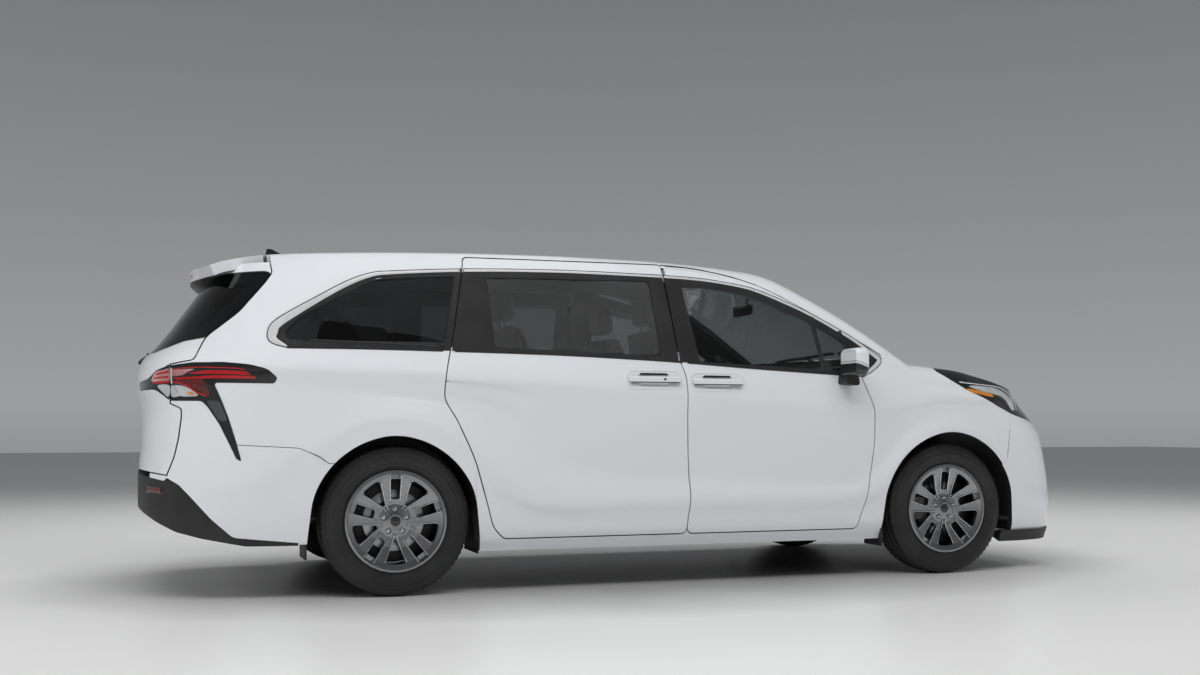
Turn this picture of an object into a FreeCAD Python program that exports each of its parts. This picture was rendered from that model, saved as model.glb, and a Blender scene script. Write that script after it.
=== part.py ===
"""Minivan: a seven-seat family car with two hinged front doors, two sliding rear doors and a top-hinged tailgate.

Millimetres. +X points to the front of the car, +Y to its left side and +Z up. The origin is on the floor,
half way between the axles on the centre plane. The right side is modelled and mirrored for the left.
"""
import FreeCAD
import Part
import math
import os

VEC = FreeCAD.Vector
os.makedirs("parts", exist_ok=True)

# Driving dimensions
WHEELBASE = 3060.0
TRACK = 1720.0
TYRE_RADIUS = 360.0
TYRE_WIDTH = 235.0
RIM_RADIUS = 246.0
FRONT_ARCH_RADIUS = 430.0
DOOR_PIN_X = 1020.0
DOOR_PIN_Y = -975.0
REAR_ARCH_RADIUS = 414.0
NOSE_X = 2462.0
TAIL_X = -2697.0
SHUT_GAP = 6.0
LAMP_GAP = 2.0
GLASS_GAP = 1.0
FRAME_THICK = 46.0
PANEL_THICK = 34.0
SIDE_INNER_Y = 849.7
GLASS_THICK = 5.0
SILL_Z = 204.0
ROCKER_Z = 262.0
FLOOR_Z = 340.0
FLOOR_THICK = 60.0
SILL_INNER_Y = 790.0
FIREWALL_X = 1110.0
FENDER_THICK = 28.0
SEAT_GAP = 0.3
SPINDLE_RADIUS = 28.0
SPINDLE_FIT = 0.05
KINGPIN_Y = 830.0
HOOD_THICK = 26.0
DISC_RADIUS = 150.0
DISC_THICK = 24.0
NOSE_START_X = 1650.0
TAIL_START_X = -1750.0
ROOF_CROWN = 43.0
ROOF_EDGE_Y = 640.0
HOOD_CROWN = 55.0
HOOD_EDGE_Y = 750.0
GLASS_TOP_Z = 1575.0
GLASS_TOP_Y = 812.0
SIDE_LEVELS = 30
HANDLE_CUP_DEPTH = 20.0
FRONT_HANDLE = (-2.0, 274.0, 1042.0)
SLIDING_HANDLE = (-354.0, -79.0, 1050.0)
QUARTER_SPLIT_X = -1145.0
PLATE_ROOM_TOP = 760.0
PLATE_ROOM_BOTTOM = 600.0
PLATE_ROOM_DEPTH = 42.0
TAILGATE_PIN = (-2083.0, 1664.0)
TAILGATE_HINGE_Y = 330.0
HINGE_PIN_RADIUS = 5.0
WELL_INNER_Y = 690.0
FLAP_THICK = 10.0
SILL_FRONT_X = 1110.0
LAMP_INNER_Y = 470.0
HUB_FACE = 42.0
SPOKE_PAIRS = 5
SPOKE_DRAFT = 7.0
LUG_CIRCLE = 114.3
LUG_POCKET_RADIUS = 14.0
DISC_FACE = -6.0
ARM_TOP = 232.0
ARM_THICK = 22.0

FRONT_AXLE_X = WHEELBASE / 2
REAR_AXLE_X = -WHEELBASE / 2


def profile(*points):
    """A smooth curve through (position, value) points that never overshoots them (monotone cubic)."""
    xs = [p[0] for p in points]
    ys = [p[1] for p in points]
    last = len(xs) - 1
    rises = [(ys[i + 1] - ys[i]) / (xs[i + 1] - xs[i]) for i in range(last)]
    slopes = [rises[0]]
    for i in range(1, last):
        a, b = rises[i - 1], rises[i]
        slopes.append(2 * a * b / (a + b) if a * b > 0 else 0.0)
    slopes.append(rises[-1])

    def value(x):
        if x <= xs[0]:
            return ys[0] + slopes[0] * (x - xs[0])
        if x >= xs[-1]:
            return ys[-1] + slopes[-1] * (x - xs[-1])
        i = next(k for k in range(last) if x <= xs[k + 1])
        h = xs[i + 1] - xs[i]
        t = (x - xs[i]) / h
        return (
            ys[i] * (1 + 2 * t) * (1 - t) ** 2
            + slopes[i] * h * t * (1 - t) ** 2
            + ys[i + 1] * t * t * (3 - 2 * t)
            - slopes[i + 1] * h * t * t * (1 - t)
        )

    return value


def clamp01(t):
    return max(0.0, min(1.0, t))


def smooth_min(a, b, r):
    """The lower of a and b, rounded over a difference of r."""
    h = clamp01(0.5 + 0.5 * (b - a) / r)
    return b * (1 - h) + a * h - r * h * (1 - h)


def smooth_max(a, b, r):
    return -smooth_min(-a, -b, r)


# Centre-plane profiles of the outer skin
roof_z = profile((-2440, 1590), (-2300, 1646), (-2100, 1684), (-1800, 1708), (-1400, 1727), (-1000, 1738),
                 (-600, 1742), (-200, 1738), (150, 1723), (400, 1702), (560, 1684), (700, 1664))
screen_z = profile((400, 1720), (520, 1692), (700, 1627), (900, 1537), (1100, 1437), (1300, 1325), (1500, 1205),
                   (1600, 1142))
hood_z = profile((1200, 1244), (1480, 1216), (1700, 1194), (1900, 1169), (2100, 1138), (2250, 1104), (2330, 1074),
                 (2385, 1035), (2415, 985))
nose_x = profile((200, NOSE_X - 44), (260, NOSE_X - 30), (330, NOSE_X - 16), (450, NOSE_X - 4), (600, NOSE_X),
                 (760, NOSE_X - 4), (860, NOSE_X - 16), (930, NOSE_X - 30), (985, NOSE_X - 47),
                 (1035, NOSE_X - 77), (1074, NOSE_X - 132), (1104, NOSE_X - 212))
tail_x = profile((250, TAIL_X + 60), (330, TAIL_X + 26), (420, TAIL_X), (560, TAIL_X), (620, TAIL_X + 8),
                 (720, TAIL_X + 20), (850, TAIL_X + 22), (960, TAIL_X + 8), (1040, TAIL_X), (1100, TAIL_X + 8),
                 (1150, TAIL_X + 32), (1190, TAIL_X + 70), (1240, TAIL_X + 112), (1350, TAIL_X + 192),
                 (1500, TAIL_X + 297), (1560, TAIL_X + 339), (1640, TAIL_X + 395))

# How square the nose and the tail are in plan: the powers of a superellipse at each height
nose_power_y = profile((600, 4.0), (760, 3.4), (860, 2.7), (950, 2.1), (1100, 2.0))
nose_power_x = profile((600, 3.0), (760, 2.8), (860, 2.4), (950, 2.1), (1100, 2.1))
tail_power_y = profile((900, 4.0), (1150, 3.8), (1300, 3.2), (1500, 3.0))
tail_power_x = profile((900, 3.4), (1150, 3.2), (1300, 2.6), (1500, 2.4))

# Crown of the top surfaces and the bow of the windscreen
SCREEN_BOW = 0.34e-3


def top_z(x, y):
    """Height of the roof, windscreen and hood above a point of the floor."""
    y = abs(y)
    roof = roof_z(x) - ROOF_CROWN * (y / ROOF_EDGE_Y) ** 2.4
    screen = screen_z(x + SCREEN_BOW * y * y)
    xe = x
    if x > NOSE_START_X:
        square = max(0.05, 1 - (y / 965.0) ** 2) ** (1 / 2.1)
        xe = NOSE_START_X + (x - NOSE_START_X) / square
    hood = hood_z(xe) - HOOD_CROWN * (y / HOOD_EDGE_Y) ** 2.2
    z = smooth_min(roof, screen, 26.0)
    return smooth_max(z, hood, 12.0)


# The edge where the side of the body meets the roof, the windscreen and the hood
side_edge_y = profile((-2440, 560), (-2200, 600), (-1900, 636), (-1400, 646), (-600, 648), (300, 646), (520, 660),
                      (700, 706), (900, 757), (1100, 803), (1200, 822), (1300, 833), (1650, 836))
edge_round = profile((-2400, 118), (-1800, 120), (300, 116), (520, 96), (900, 74), (1200, 62), (1400, 74),
                     (1800, 84), (2250, 60), (2400, 24))
HOOD_FRONT_X = NOSE_X - 68


def edge_y(x):
    if x <= NOSE_START_X:
        return side_edge_y(x)
    t = clamp01((x - NOSE_START_X) / (HOOD_FRONT_X - NOSE_START_X))
    return side_edge_y(NOSE_START_X) * (1 - t ** 2.3) ** (1 / 2.2)


# Heights of the lines that run along the side
shoulder_z = profile((-2600, 1076), (-2080, 1068), (-1290, 1052), (-70, 985), (1040, 914), (1200, 925),
                     (1350, 946), (1530, 962), (1800, 950), (2200, 930))
valley_z = profile((-2600, 1018), (-2080, 1006), (-1300, 946), (-1040, 880), (-900, 800), (-780, 704), (-620, 618),
                   (-330, 578), (0, 553), (900, 510), (1050, 570), (1200, 720), (1350, 846), (1530, 886),
                   (1700, 872), (1850, 800), (2000, 690), (2200, 610))
crest_z = profile((-2600, 520), (-2240, 528), (-2060, 620), (-1880, 730), (-1700, 810), (-1536, 838), (-1380, 812),
                  (-1240, 740), (-1100, 630), (-960, 520), (-820, 450), (-600, 430), (0, 430), (800, 424),
                  (1000, 450), (1150, 560), (1300, 720), (1530, 812), (1700, 790), (1850, 690), (2000, 540),
                  (2150, 440), (2300, 424))
belt_z = profile((-2600, 1210), (-2050, 1194), (-1266, 1178), (-707, 1162), (-73, 1143), (747, 1097),
                 (1000, 1083), (1200, 1062), (1500, 1040), (1900, 1006), (2200, 980))
# Half widths on those lines
sill_y = profile((-2600, 925), (-1100, 932), (1100, 934), (2300, 925))
rocker_y = profile((-2600, 950), (-1100, 957), (1100, 957), (2300, 950))
crest_y = profile((-2600, 982), (-2240, 986), (-1850, 994), (-1536, 997), (-1200, 994), (-900, 985), (-600, 983),
                  (900, 983), (1150, 986), (1530, 992), (1900, 984), (2300, 972))
valley_y = profile((-2600, 970), (-2080, 972), (-1300, 967), (-1040, 959), (-780, 956), (-330, 960), (900, 966),
                   (1200, 973), (1530, 978), (1900, 972), (2300, 965))
shoulder_y = profile((-2600, 979), (-2080, 981), (-1290, 983), (1040, 981), (1530, 976), (1900, 966), (2300, 950))
belt_y = profile((-2600, 930), (-1266, 946), (-73, 952), (1000, 955), (1300, 950), (1900, 930), (2200, 910))


def flare(x, z):
    """The lip that stands out round each wheel arch."""
    out = 0.0
    for axle, radius in ((FRONT_AXLE_X + 18, FRONT_ARCH_RADIUS), (REAR_AXLE_X, REAR_ARCH_RADIUS)):
        r = math.hypot(x - axle, z - TYRE_RADIUS)
        if z > 300:
            out += 7.0 * math.exp(-(((r - radius) / 42.0) ** 2)) * clamp01((z - 300) / 120)
    return out


def base_half_width(x, z):
    """Half width of the side before the nose and tail are rounded in."""
    zl, zv, zs, zb = crest_z(x), valley_z(x), shoulder_z(x), belt_z(x)
    yl, yv, ys, yb = crest_y(x), valley_y(x), shoulder_y(x), belt_y(x)
    section = profile(
        (SILL_Z - 20, sill_y(x) - 8), (SILL_Z, sill_y(x)), (ROCKER_Z, rocker_y(x)),
        (ROCKER_Z + 18, rocker_y(x) + 5), (zl - 22, yl - 4.5), (zl, yl), (zl + 22, yl - 1.5),
        (zv, yv), (zs - 18, ys - 3), (zs, ys), (zs + 18, ys - 3), (zb, yb),
        (0.5 * (zb + GLASS_TOP_Z), 0.5 * (yb + GLASS_TOP_Y) + 7), (GLASS_TOP_Z, GLASS_TOP_Y), (1720, 765),
    )
    return section(z) + flare(x, z)


def plan_factor(x, z):
    """Share of the base half width that is left at x as the nose or the tail rounds in."""
    if x > NOSE_START_X:
        s = clamp01((x - NOSE_START_X) / (nose_x(z) - NOSE_START_X))
        return max(0.0, 1 - s ** nose_power_x(z)) ** (1 / nose_power_y(z))
    if x < TAIL_START_X:
        s = clamp01((TAIL_START_X - x) / (TAIL_START_X - tail_x(z)))
        return max(0.0, 1 - s ** tail_power_x(z)) ** (1 / tail_power_y(z))
    return 1.0


def half_width(x, z):
    return base_half_width(x, z) * plan_factor(x, z)


def edge_point(x):
    y = edge_y(x)
    return y, top_z(x, y)


def skin_half(x, z):
    """Half width of the finished skin: the side rounds over to the edge of the roof or the hood."""
    ye, ze = edge_point(x)
    r = edge_round(x)
    plain = half_width(x, z)
    if z <= ze - r:
        return plain
    if z >= ze:
        return min(plain, ye)
    wide = half_width(x, ze - r)
    lean = (wide - half_width(x, ze - r - 20)) / 20
    rise = z - (ze - r)
    turn = math.sqrt(1 - (rise / r) ** 2)
    return min(plain, ye + (wide - ye) * turn + lean * rise * turn ** 2)


# Grids of points on the right-hand outer skin


def side_level_z(x, level):
    """Height of grid line number level of the side: the lines follow the creases, then round over to the edge."""
    _, ze = edge_point(x)
    r = edge_round(x)
    start = ze - r
    zs = min(shoulder_z(x), start - 60)
    zb = min(belt_z(x), start - 25)
    marks = [(0, SILL_Z), (2, ROCKER_Z), (5, crest_z(x)), (10, valley_z(x)), (14, zs), (17, zb), (23, start)]
    for (a, za), (b, zn) in zip(marks, marks[1:]):
        if level <= b:
            return za + (zn - za) * (level - a) / (b - a)
    return start + r * math.sin(math.pi / 2 * (level - 23) / (SIDE_LEVELS - 23))


def side_grid(x0, x1, step=45.0):
    """Points on the right side between two stations, one row for each station."""
    count = max(4, int(abs(x1 - x0) / step))
    xs = [x0 + (x1 - x0) * i / count for i in range(count + 1)]
    rows = []
    for x in xs:
        zs = [side_level_z(x, level) for level in range(SIDE_LEVELS + 1)]
        rows.append([VEC(x, -skin_half(x, z), z) for z in zs[:-1]] + [VEC(x, -edge_y(x), zs[-1])])
    return rows


def reach(pivot_x, direction, z):
    """The point of the skin at height z on a ray from the centre plane that runs outwards and forwards or back."""
    sx, sy = direction
    near, far = 200.0, 1500.0
    for _ in range(34):
        mid = 0.5 * (near + far)
        if mid * sy < skin_half(pivot_x + mid * sx, z):
            near = mid
        else:
            far = mid
    return VEC(pivot_x + near * sx, -near * sy, z)


def corner_grid(pivot_x, side, heights, start_angle, columns):
    """Points round one end of the car, from its right side to its left: side is 1 at the nose and -1 at the tail."""
    rows = []
    for z in heights:
        limit = nose_x(z) if side > 0 else tail_x(z)
        half = []
        for j in range(columns):
            t = j / columns
            angle = start_angle + (math.pi / 2 - start_angle) * t
            half.append(reach(pivot_x, (side * math.sin(angle), math.cos(angle)), z))
        rows.append(half + [VEC(limit, 0, z)] + [VEC(p.x, -p.y, p.z) for p in reversed(half)])
    return rows


def steps(a, b, count):
    return [a + (b - a) * i / count for i in range(count + 1)]


def top_grid(x0_of, x1_of, y_max, nx=16, ny=14):
    """Points on the top surface: each row runs along x between two curves across the car."""
    rows = []
    for y in steps(-y_max, y_max, ny):
        rows.append([VEC(x, y, top_z(x, y)) for x in steps(x0_of(y), x1_of(y), nx)])
    return rows


def offset_grid(grid, distance, outward):
    """The grid moved along its own normals, which are turned to the side that outward says."""
    rows, cols = len(grid), len(grid[0])
    out = []
    for i in range(rows):
        line = []
        for j in range(cols):
            du = grid[min(i + 1, rows - 1)][j] - grid[max(i - 1, 0)][j]
            dv = grid[i][min(j + 1, cols - 1)] - grid[i][max(j - 1, 0)]
            n = du.cross(dv)
            n.normalize()
            if n.dot(outward(grid[i][j])) < 0:
                n = n * -1
            line.append(grid[i][j] + n * distance)
        out.append(line)
    return out


def outward_from_axis(p):
    """Away from a line along the middle of the body."""
    return VEC(0.25 * p.x / 1000.0, p.y / 500.0, (p.z - 700.0) / 900.0)


def face_of(grid):
    surface = Part.BSplineSurface()
    surface.interpolate(grid)
    return surface.toShape()


def slab(outer, inner):
    """The closed solid between two grids of the same size."""
    a, b = face_of(outer), face_of(inner)
    edges_a, edges_b = a.OuterWire.OrderedEdges, b.OuterWire.OrderedEdges
    faces = [a, b] + [Part.makeRuledSurface(ea, eb) for ea, eb in zip(edges_a, edges_b)]
    shell = Part.Shell(faces)
    shell.sewShape()
    solid = Part.Solid(shell)
    if solid.Volume < 0:
        solid.reverse()
    return solid


def skin(grid, depth0, depth1):
    """A solid that follows the grid, from depth0 to depth1 below it."""
    outer = grid if depth0 == 0 else offset_grid(grid, -depth0, outward_from_axis)
    return slab(outer, offset_grid(grid, -depth1, outward_from_axis))


def wall(grid, thick_low, thick_high, inner_y=SIDE_INNER_Y):
    """A side wall: its inner face is upright below the belt, and follows the skin above it."""
    inner = []
    for row in grid:
        normal_row = offset_grid([row, [p + VEC(1, 0, 0) for p in row]], -thick_high, outward_from_axis)[0]
        line = []
        for level, (p, q) in enumerate(zip(row, normal_row)):
            if level >= 23:
                line.append(VEC(p.x, q.y, q.z))
            else:
                line.append(VEC(p.x, -max(min(inner_y, abs(p.y) - thick_high), abs(p.y) - thick_low), p.z))
        inner.append(line)
    return slab(grid, inner)


def corner_parts(before, point, after):
    """Tangent points and middle of the arc that rounds one corner of an outline, or just the corner."""
    px, pz = point[0], point[1]
    if len(point) < 3:
        return [(px, pz)]
    ux, uz = before[0] - px, before[1] - pz
    vx, vz = after[0] - px, after[1] - pz
    lu, lv = math.hypot(ux, uz), math.hypot(vx, vz)
    ux, uz, vx, vz = ux / lu, uz / lu, vx / lv, vz / lv
    half = 0.5 * math.acos(max(-1.0, min(1.0, ux * vx + uz * vz)))
    if half > math.pi / 2 - 0.004:
        return [(px, pz)]
    run = min(point[2] / math.tan(half), 0.48 * lu, 0.48 * lv)
    radius = run * math.tan(half)
    bx, bz = ux + vx, uz + vz
    lb = math.hypot(bx, bz)
    bx, bz = bx / lb, bz / lb
    far = radius / math.sin(half) - radius
    return [(px + ux * run, pz + uz * run), (px + bx * far, pz + bz * far), (px + vx * run, pz + vz * run)]


def outline(points, place):
    """A closed wire through the points; a point's third number is the radius of its corner."""
    n = len(points)
    corners = [corner_parts(points[i - 1], points[i], points[(i + 1) % n]) for i in range(n)]
    edges = []
    for i in range(n):
        here, following = corners[i], corners[(i + 1) % n]
        if len(here) == 3:
            edges.append(Part.Arc(*[place(*p) for p in here]).toShape())
        a, b = place(*here[-1]), place(*following[0])
        if a.distanceToPoint(b) > 0.01:
            edges.append(Part.makeLine(a, b))
    return Part.Wire(edges)


def grown(wire, by):
    return wire.makeOffset2D(by) if by else wire


def side_prism(points, y0=-1300.0, y1=-300.0, grow=0.0):
    """The outline, drawn in side view as (x, z), run across the car from y0 to y1."""
    wire = grown(outline(points, lambda a, b: VEC(a, y0, b)), grow)
    return Part.Face(wire).extrude(VEC(0, y1 - y0, 0))


def plan_prism(points, z0, z1, grow=0.0):
    wire = grown(outline(points, lambda a, b: VEC(a, b, z0)), grow)
    return Part.Face(wire).extrude(VEC(0, 0, z1 - z0))


def front_prism(points, x0, x1, grow=0.0):
    wire = grown(outline(points, lambda a, b: VEC(x0, a, b)), grow)
    return Part.Face(wire).extrude(VEC(x1 - x0, 0, 0))


def block(x0, x1, y0, y1, z0, z1):
    return Part.makeBox(x1 - x0, y1 - y0, z1 - z0, VEC(x0, y0, z0))


def rod(p0, p1, radius):
    direction = VEC(*p1) - VEC(*p0)
    return Part.makeCylinder(radius, direction.Length, VEC(*p0), direction)


def left(shape):
    return shape.mirror(VEC(0, 0, 0), VEC(0, 1, 0))


def fused(first, *others):
    return first.fuse(list(others)).removeSplitter() if others else first


BOX_CENTRE_X = 0.5 * (NOSE_X + TAIL_X)


def export(name, *shapes):
    """Write one node, moved so that the origin is under the middle of the overall length."""
    shape = shapes[0] if len(shapes) == 1 else Part.makeCompound(list(shapes))
    shape = shape.copy()
    shape.translate(VEC(-BOX_CENTRE_X, 0, 0))
    shape.exportStep("parts/%s.step" % name)


# Outlines in side view, as (x, z, corner radius)
B_SEAM = [(-26, 677, 900), (-32, 900, 900), (-37, 1075, 300), (-68, 1150, 300), (-102, 1587, 500)]
FRONT_DOOR = (
    [(-92, 1662, 12), (100, 1652, 900), (300, 1612, 600), (430, 1570, 500), (560, 1512, 600), (760, 1408),
     (960, 1298), (1132, 1200, 16), (1128, 1168, 12), (1018, 1092, 30), (992, 1078, 30), (1021, 1010, 400),
     (1061, 907, 300), (1066, 749, 500), (1046, 592, 500), (1009, 423, 500), (958, ROCKER_Z + 3, 30),
     (-32, ROCKER_Z + 3, 30), (-12, 466, 900)]
    + [(x + SHUT_GAP / 2, z, r) for x, z, r in B_SEAM]
)
SLIDING_DOOR = (
    [(x - SHUT_GAP / 2, z, r) for x, z, r in reversed(B_SEAM)]
    + [(-18, 466, 900), (-38, ROCKER_Z + 3, 30), (-1000, ROCKER_Z + 3, 40), (-1054, 320, 120), (-1086, 439, 400),
       (-1149, 650, 900), (-1237, 847, 160), (-1297, 944, 120), (-1289, 1068, 400), (-1261, 1181, 900),
       (-1158, 1655, 25), (-98, 1662, 12)]
)
FRONT_WINDOW = [(-17, 1572, 18), (107, 1570, 900), (383, 1528, 500), (520, 1479, 500), (730, 1378), (940, 1264),
                (1085, 1183, 14), (985, 1108, 25), (748, 1112), (38, 1139, 20)]
SLIDING_WINDOW = [(-1060, 1557, 22), (-178, 1573, 22), (-162, 1166, 22), (-1046, 1193, 22)]
QUARTER_WINDOW = [(-1210, 1560, 16), (-1618, 1526, 300), (-1969, 1336, 300), (-2058, 1252, 30), (-2030, 1207, 25),
                  (-1286, 1211, 16)]
TAIL_SEAM = [(-2093, 1700), (-2090, 1580, 40), (-2085, 1545, 60), (-2120, 1495, 100), (-2240, 1351, 300),
             (-2390, 1230, 150), (-2446, 1118, 30), (-2547, 1100), (-2547, 917), (-2500, 893, 12), (-2499, 855, 60),
             (-2512, 755, 200), (-2531, 669, 200), (-2563, 585), (-2800, 622), (-2800, 1700)]
TAIL_LAMP = [(-2547, 1094), (-2449, 1106, 200), (-2321, 1105, 200), (-2205, 1095, 300), (-2127, 1075, 80),
             (-2082, 1034, 12), (-2096, 1010, 12), (-2362, 1012, 12), (-2329, 936, 200), (-2297, 849, 300),
             (-2265, 741, 300), (-2242, 651, 3), (-2262, 664, 10), (-2297, 741, 300), (-2335, 822, 300),
             (-2386, 902, 100), (-2412, 929, 30), (-2547, 931)]
REAR_GLASS = [(-2370, 1552), (-2120, 1552), (-2090, 1542, 10), (-2120, 1495, 100), (-2240, 1351, 300),
              (-2390, 1228, 40), (-2484, 1213, 60), (-2614, 1165, 40), (-2760, 1150), (-2760, 1552)]
HEADLAMP = [(1500, 1122, 12), (1592, 1065, 300), (1700, 1007, 300), (1878, 934, 300), (2015, 884, 300),
            (2240, 838, 200), (2520, 812), (2520, 1400), (1500, 1400)]
REAR_ARCH_X = REAR_AXLE_X - 4
FRONT_ARCH_X = FRONT_AXLE_X + 14


def arch_prism(x, radius, spread):
    """The opening over a wheel: a half circle that widens a little towards the ground."""
    z = TYRE_RADIUS - 6
    wide = radius + spread
    points = [(x - wide, 120), (x - radius * 0.985, z - 40, 200), (x - radius * 0.93, z + radius * 0.37, radius),
              (x - radius * 0.70, z + radius * 0.71, radius), (x - radius * 0.38, z + radius * 0.93, radius),
              (x, z + radius * 1.02, radius), (x + radius * 0.38, z + radius * 0.93, radius),
              (x + radius * 0.70, z + radius * 0.71, radius), (x + radius * 0.93, z + radius * 0.37, radius),
              (x + radius * 0.985, z - 40, 200), (x + wide, 120)]
    return side_prism(points, -1400, -420)


def pane(grid, window):
    return skin(grid, 2.0, 2.0 + GLASS_THICK).common(side_prism(window, grow=-GLASS_GAP / 2))


def side_doors():
    grid = side_grid(-130, 1170)
    front = wall(grid, 150, FRAME_THICK)
    outer = front.common(side_prism(FRONT_DOOR))
    rabbet = side_prism(FRONT_DOOR, -875, -300).cut(side_prism(FRONT_DOOR, -875, -300, grow=-15))
    outer = outer.cut(rabbet).cut(side_prism(FRONT_WINDOW))
    glass = pane(grid, FRONT_WINDOW)
    rear_grid = side_grid(-1320, -20)
    rear = wall(rear_grid, 150, FRAME_THICK).common(side_prism(SLIDING_DOOR)).cut(side_prism(SLIDING_WINDOW))
    rear_glass = pane(rear_grid, SLIDING_WINDOW)
    return outer, glass, rear, rear_glass


def handle(x0, x1, z):
    """A pull handle that stands off the door between two feet."""
    y = -half_width(0.5 * (x0 + x1), z)
    bar = block(x0, x1, y - 26, y - 8, z - 16, z + 16)
    bar = bar.makeFillet(7.5, bar.Edges)
    feet = [block(x, x + 40, y - 20, y + 10, z - 12, z + 12) for x in (x0 + 6, x1 - 46)]
    return fused(bar, *feet)


def handle_cup(x0, x1, z):
    """The hollow in the door behind a handle, where the fingers go."""
    y = -half_width(0.5 * (x0 + x1), z)
    cup = block(x0 + 56, x1 - 56, y - 40, y + HANDLE_CUP_DEPTH, z - 34, z + 34)
    return cup.makeFillet(17, cup.Edges)


def side_frame():
    """Sill, door pillars and roof rail of one side, in one piece."""
    ring = wall(side_grid(-1175, 1215), 150, FRAME_THICK)
    back = QUARTER_SPLIT_X + SEAT_GAP
    region = [(back, 150), (1110, 150), (1110, 1090), (1150, 1185, 20), (1210, 1236, 20), (1160, 1420),
              (600, 1760), (back, 1760)]
    ring = ring.common(side_prism(region))
    for door_outline in (FRONT_DOOR, SLIDING_DOOR):
        ring = ring.cut(side_prism(door_outline, grow=SHUT_GAP))
    ring = ring.cut(arch_prism(REAR_ARCH_X, REAR_ARCH_RADIUS, 12))
    fender = skin(fender_grid(), -20, FENDER_THICK + SEAT_GAP)
    ring = ring.cut(fender.common(side_prism([(900, ROCKER_Z - 3), (1300, ROCKER_Z - 3), (1300, 1300), (1222, 1248),
                                              (1150, 1185), (1128, 1168), (900, 1108)])))
    station = offset_grid(side_grid(-60, -20, 10), -(FRAME_THICK + SHUT_GAP + 2), outward_from_axis)[2]
    line = [(-843.0, 1050.0)]
    line += [(max(p.y, -843.0), p.z) for p in station[17:30] if p.z > 1060 and p.y < -650]
    pillar = front_prism([(-843, SILL_Z + 20)] + line + [(-636, line[-1][1] + 4), (-636, 1669.5),
                                                          (-662, 1669.5), (-662, 1675), (-590, 1700)]
                         + [(y + 56, z - 6) for y, z in reversed(line[:-2])] + [(-SILL_INNER_Y - 1, SILL_Z + 20)],
                         -120, 40)
    sill = block(REAR_ARCH_X + REAR_ARCH_RADIUS + 5, 1110, -SIDE_INNER_Y, -SILL_INNER_Y, SILL_Z,
                 FLOOR_Z + FLOOR_THICK + 30)
    return fused(ring, pillar, sill).cut(roof_space()).cut(screen_space())


def screen_space():
    """The room of the windscreen and all in front of it."""
    return skin(span_grid(bowed(505), bowed(1436), 0.5, 18), -40, GLASS_THICK + 2.0)


def quarter_grid():
    """Stations along the quarter panel, the last ones bunched round the corner of the tail."""
    rows = side_grid(QUARTER_SPLIT_X, -2140, 40)
    for share in steps(0.05, 0.8, 13):
        nominal = -2140 - 300 * share
        row = []
        for level in range(SIDE_LEVELS + 1):
            z = side_level_z(nominal, level)
            x = -2140 + (tail_x(z) + 2140) * share
            row.append(VEC(x, -skin_half(x, z), z))
        rows.append(row)
    return rows


def rear_quarter():
    """Side panel behind the sliding door: wheel arch, window opening and the pillar beside the tailgate."""
    panel = wall(quarter_grid(), 150, FRAME_THICK)
    panel = panel.cut(side_prism(TAIL_SEAM, -1300, 0, SHUT_GAP / 2))
    panel = panel.cut(roof_space())
    panel = panel.cut(side_prism(SLIDING_DOOR, grow=SHUT_GAP))
    panel = panel.cut(arch_prism(REAR_ARCH_X, REAR_ARCH_RADIUS, 12))
    panel = panel.cut(side_prism(QUARTER_WINDOW))
    panel = panel.cut(side_prism(TAIL_LAMP, -1300, -900, LAMP_GAP))
    panel = panel.cut(side_prism(TAIL_LAMP, grow=SEAT_GAP))
    return panel.cut(side_prism(BUMPER_CORNER, -1300, 0))


def roof_space():
    """The room of the roof panel and all above it."""
    return skin(span_grid(lambda y: -2150, bowed(519), 0.0, 22), -50, PANEL_THICK + SEAT_GAP)


BUMPER_CORNER = [(-1700, 640), (-1850, 640), (-1892, 673, 80), (-1985, 712, 80), (-2275, 728), (-2372, 932),
                 (-2640, 932), (-2640, 150), (-1700, 150)]


def tail_skin(thick):
    return skin(corner_grid(-1750, -1, steps(575, 1600, 24), 0.22, 18), 0, thick)


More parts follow.
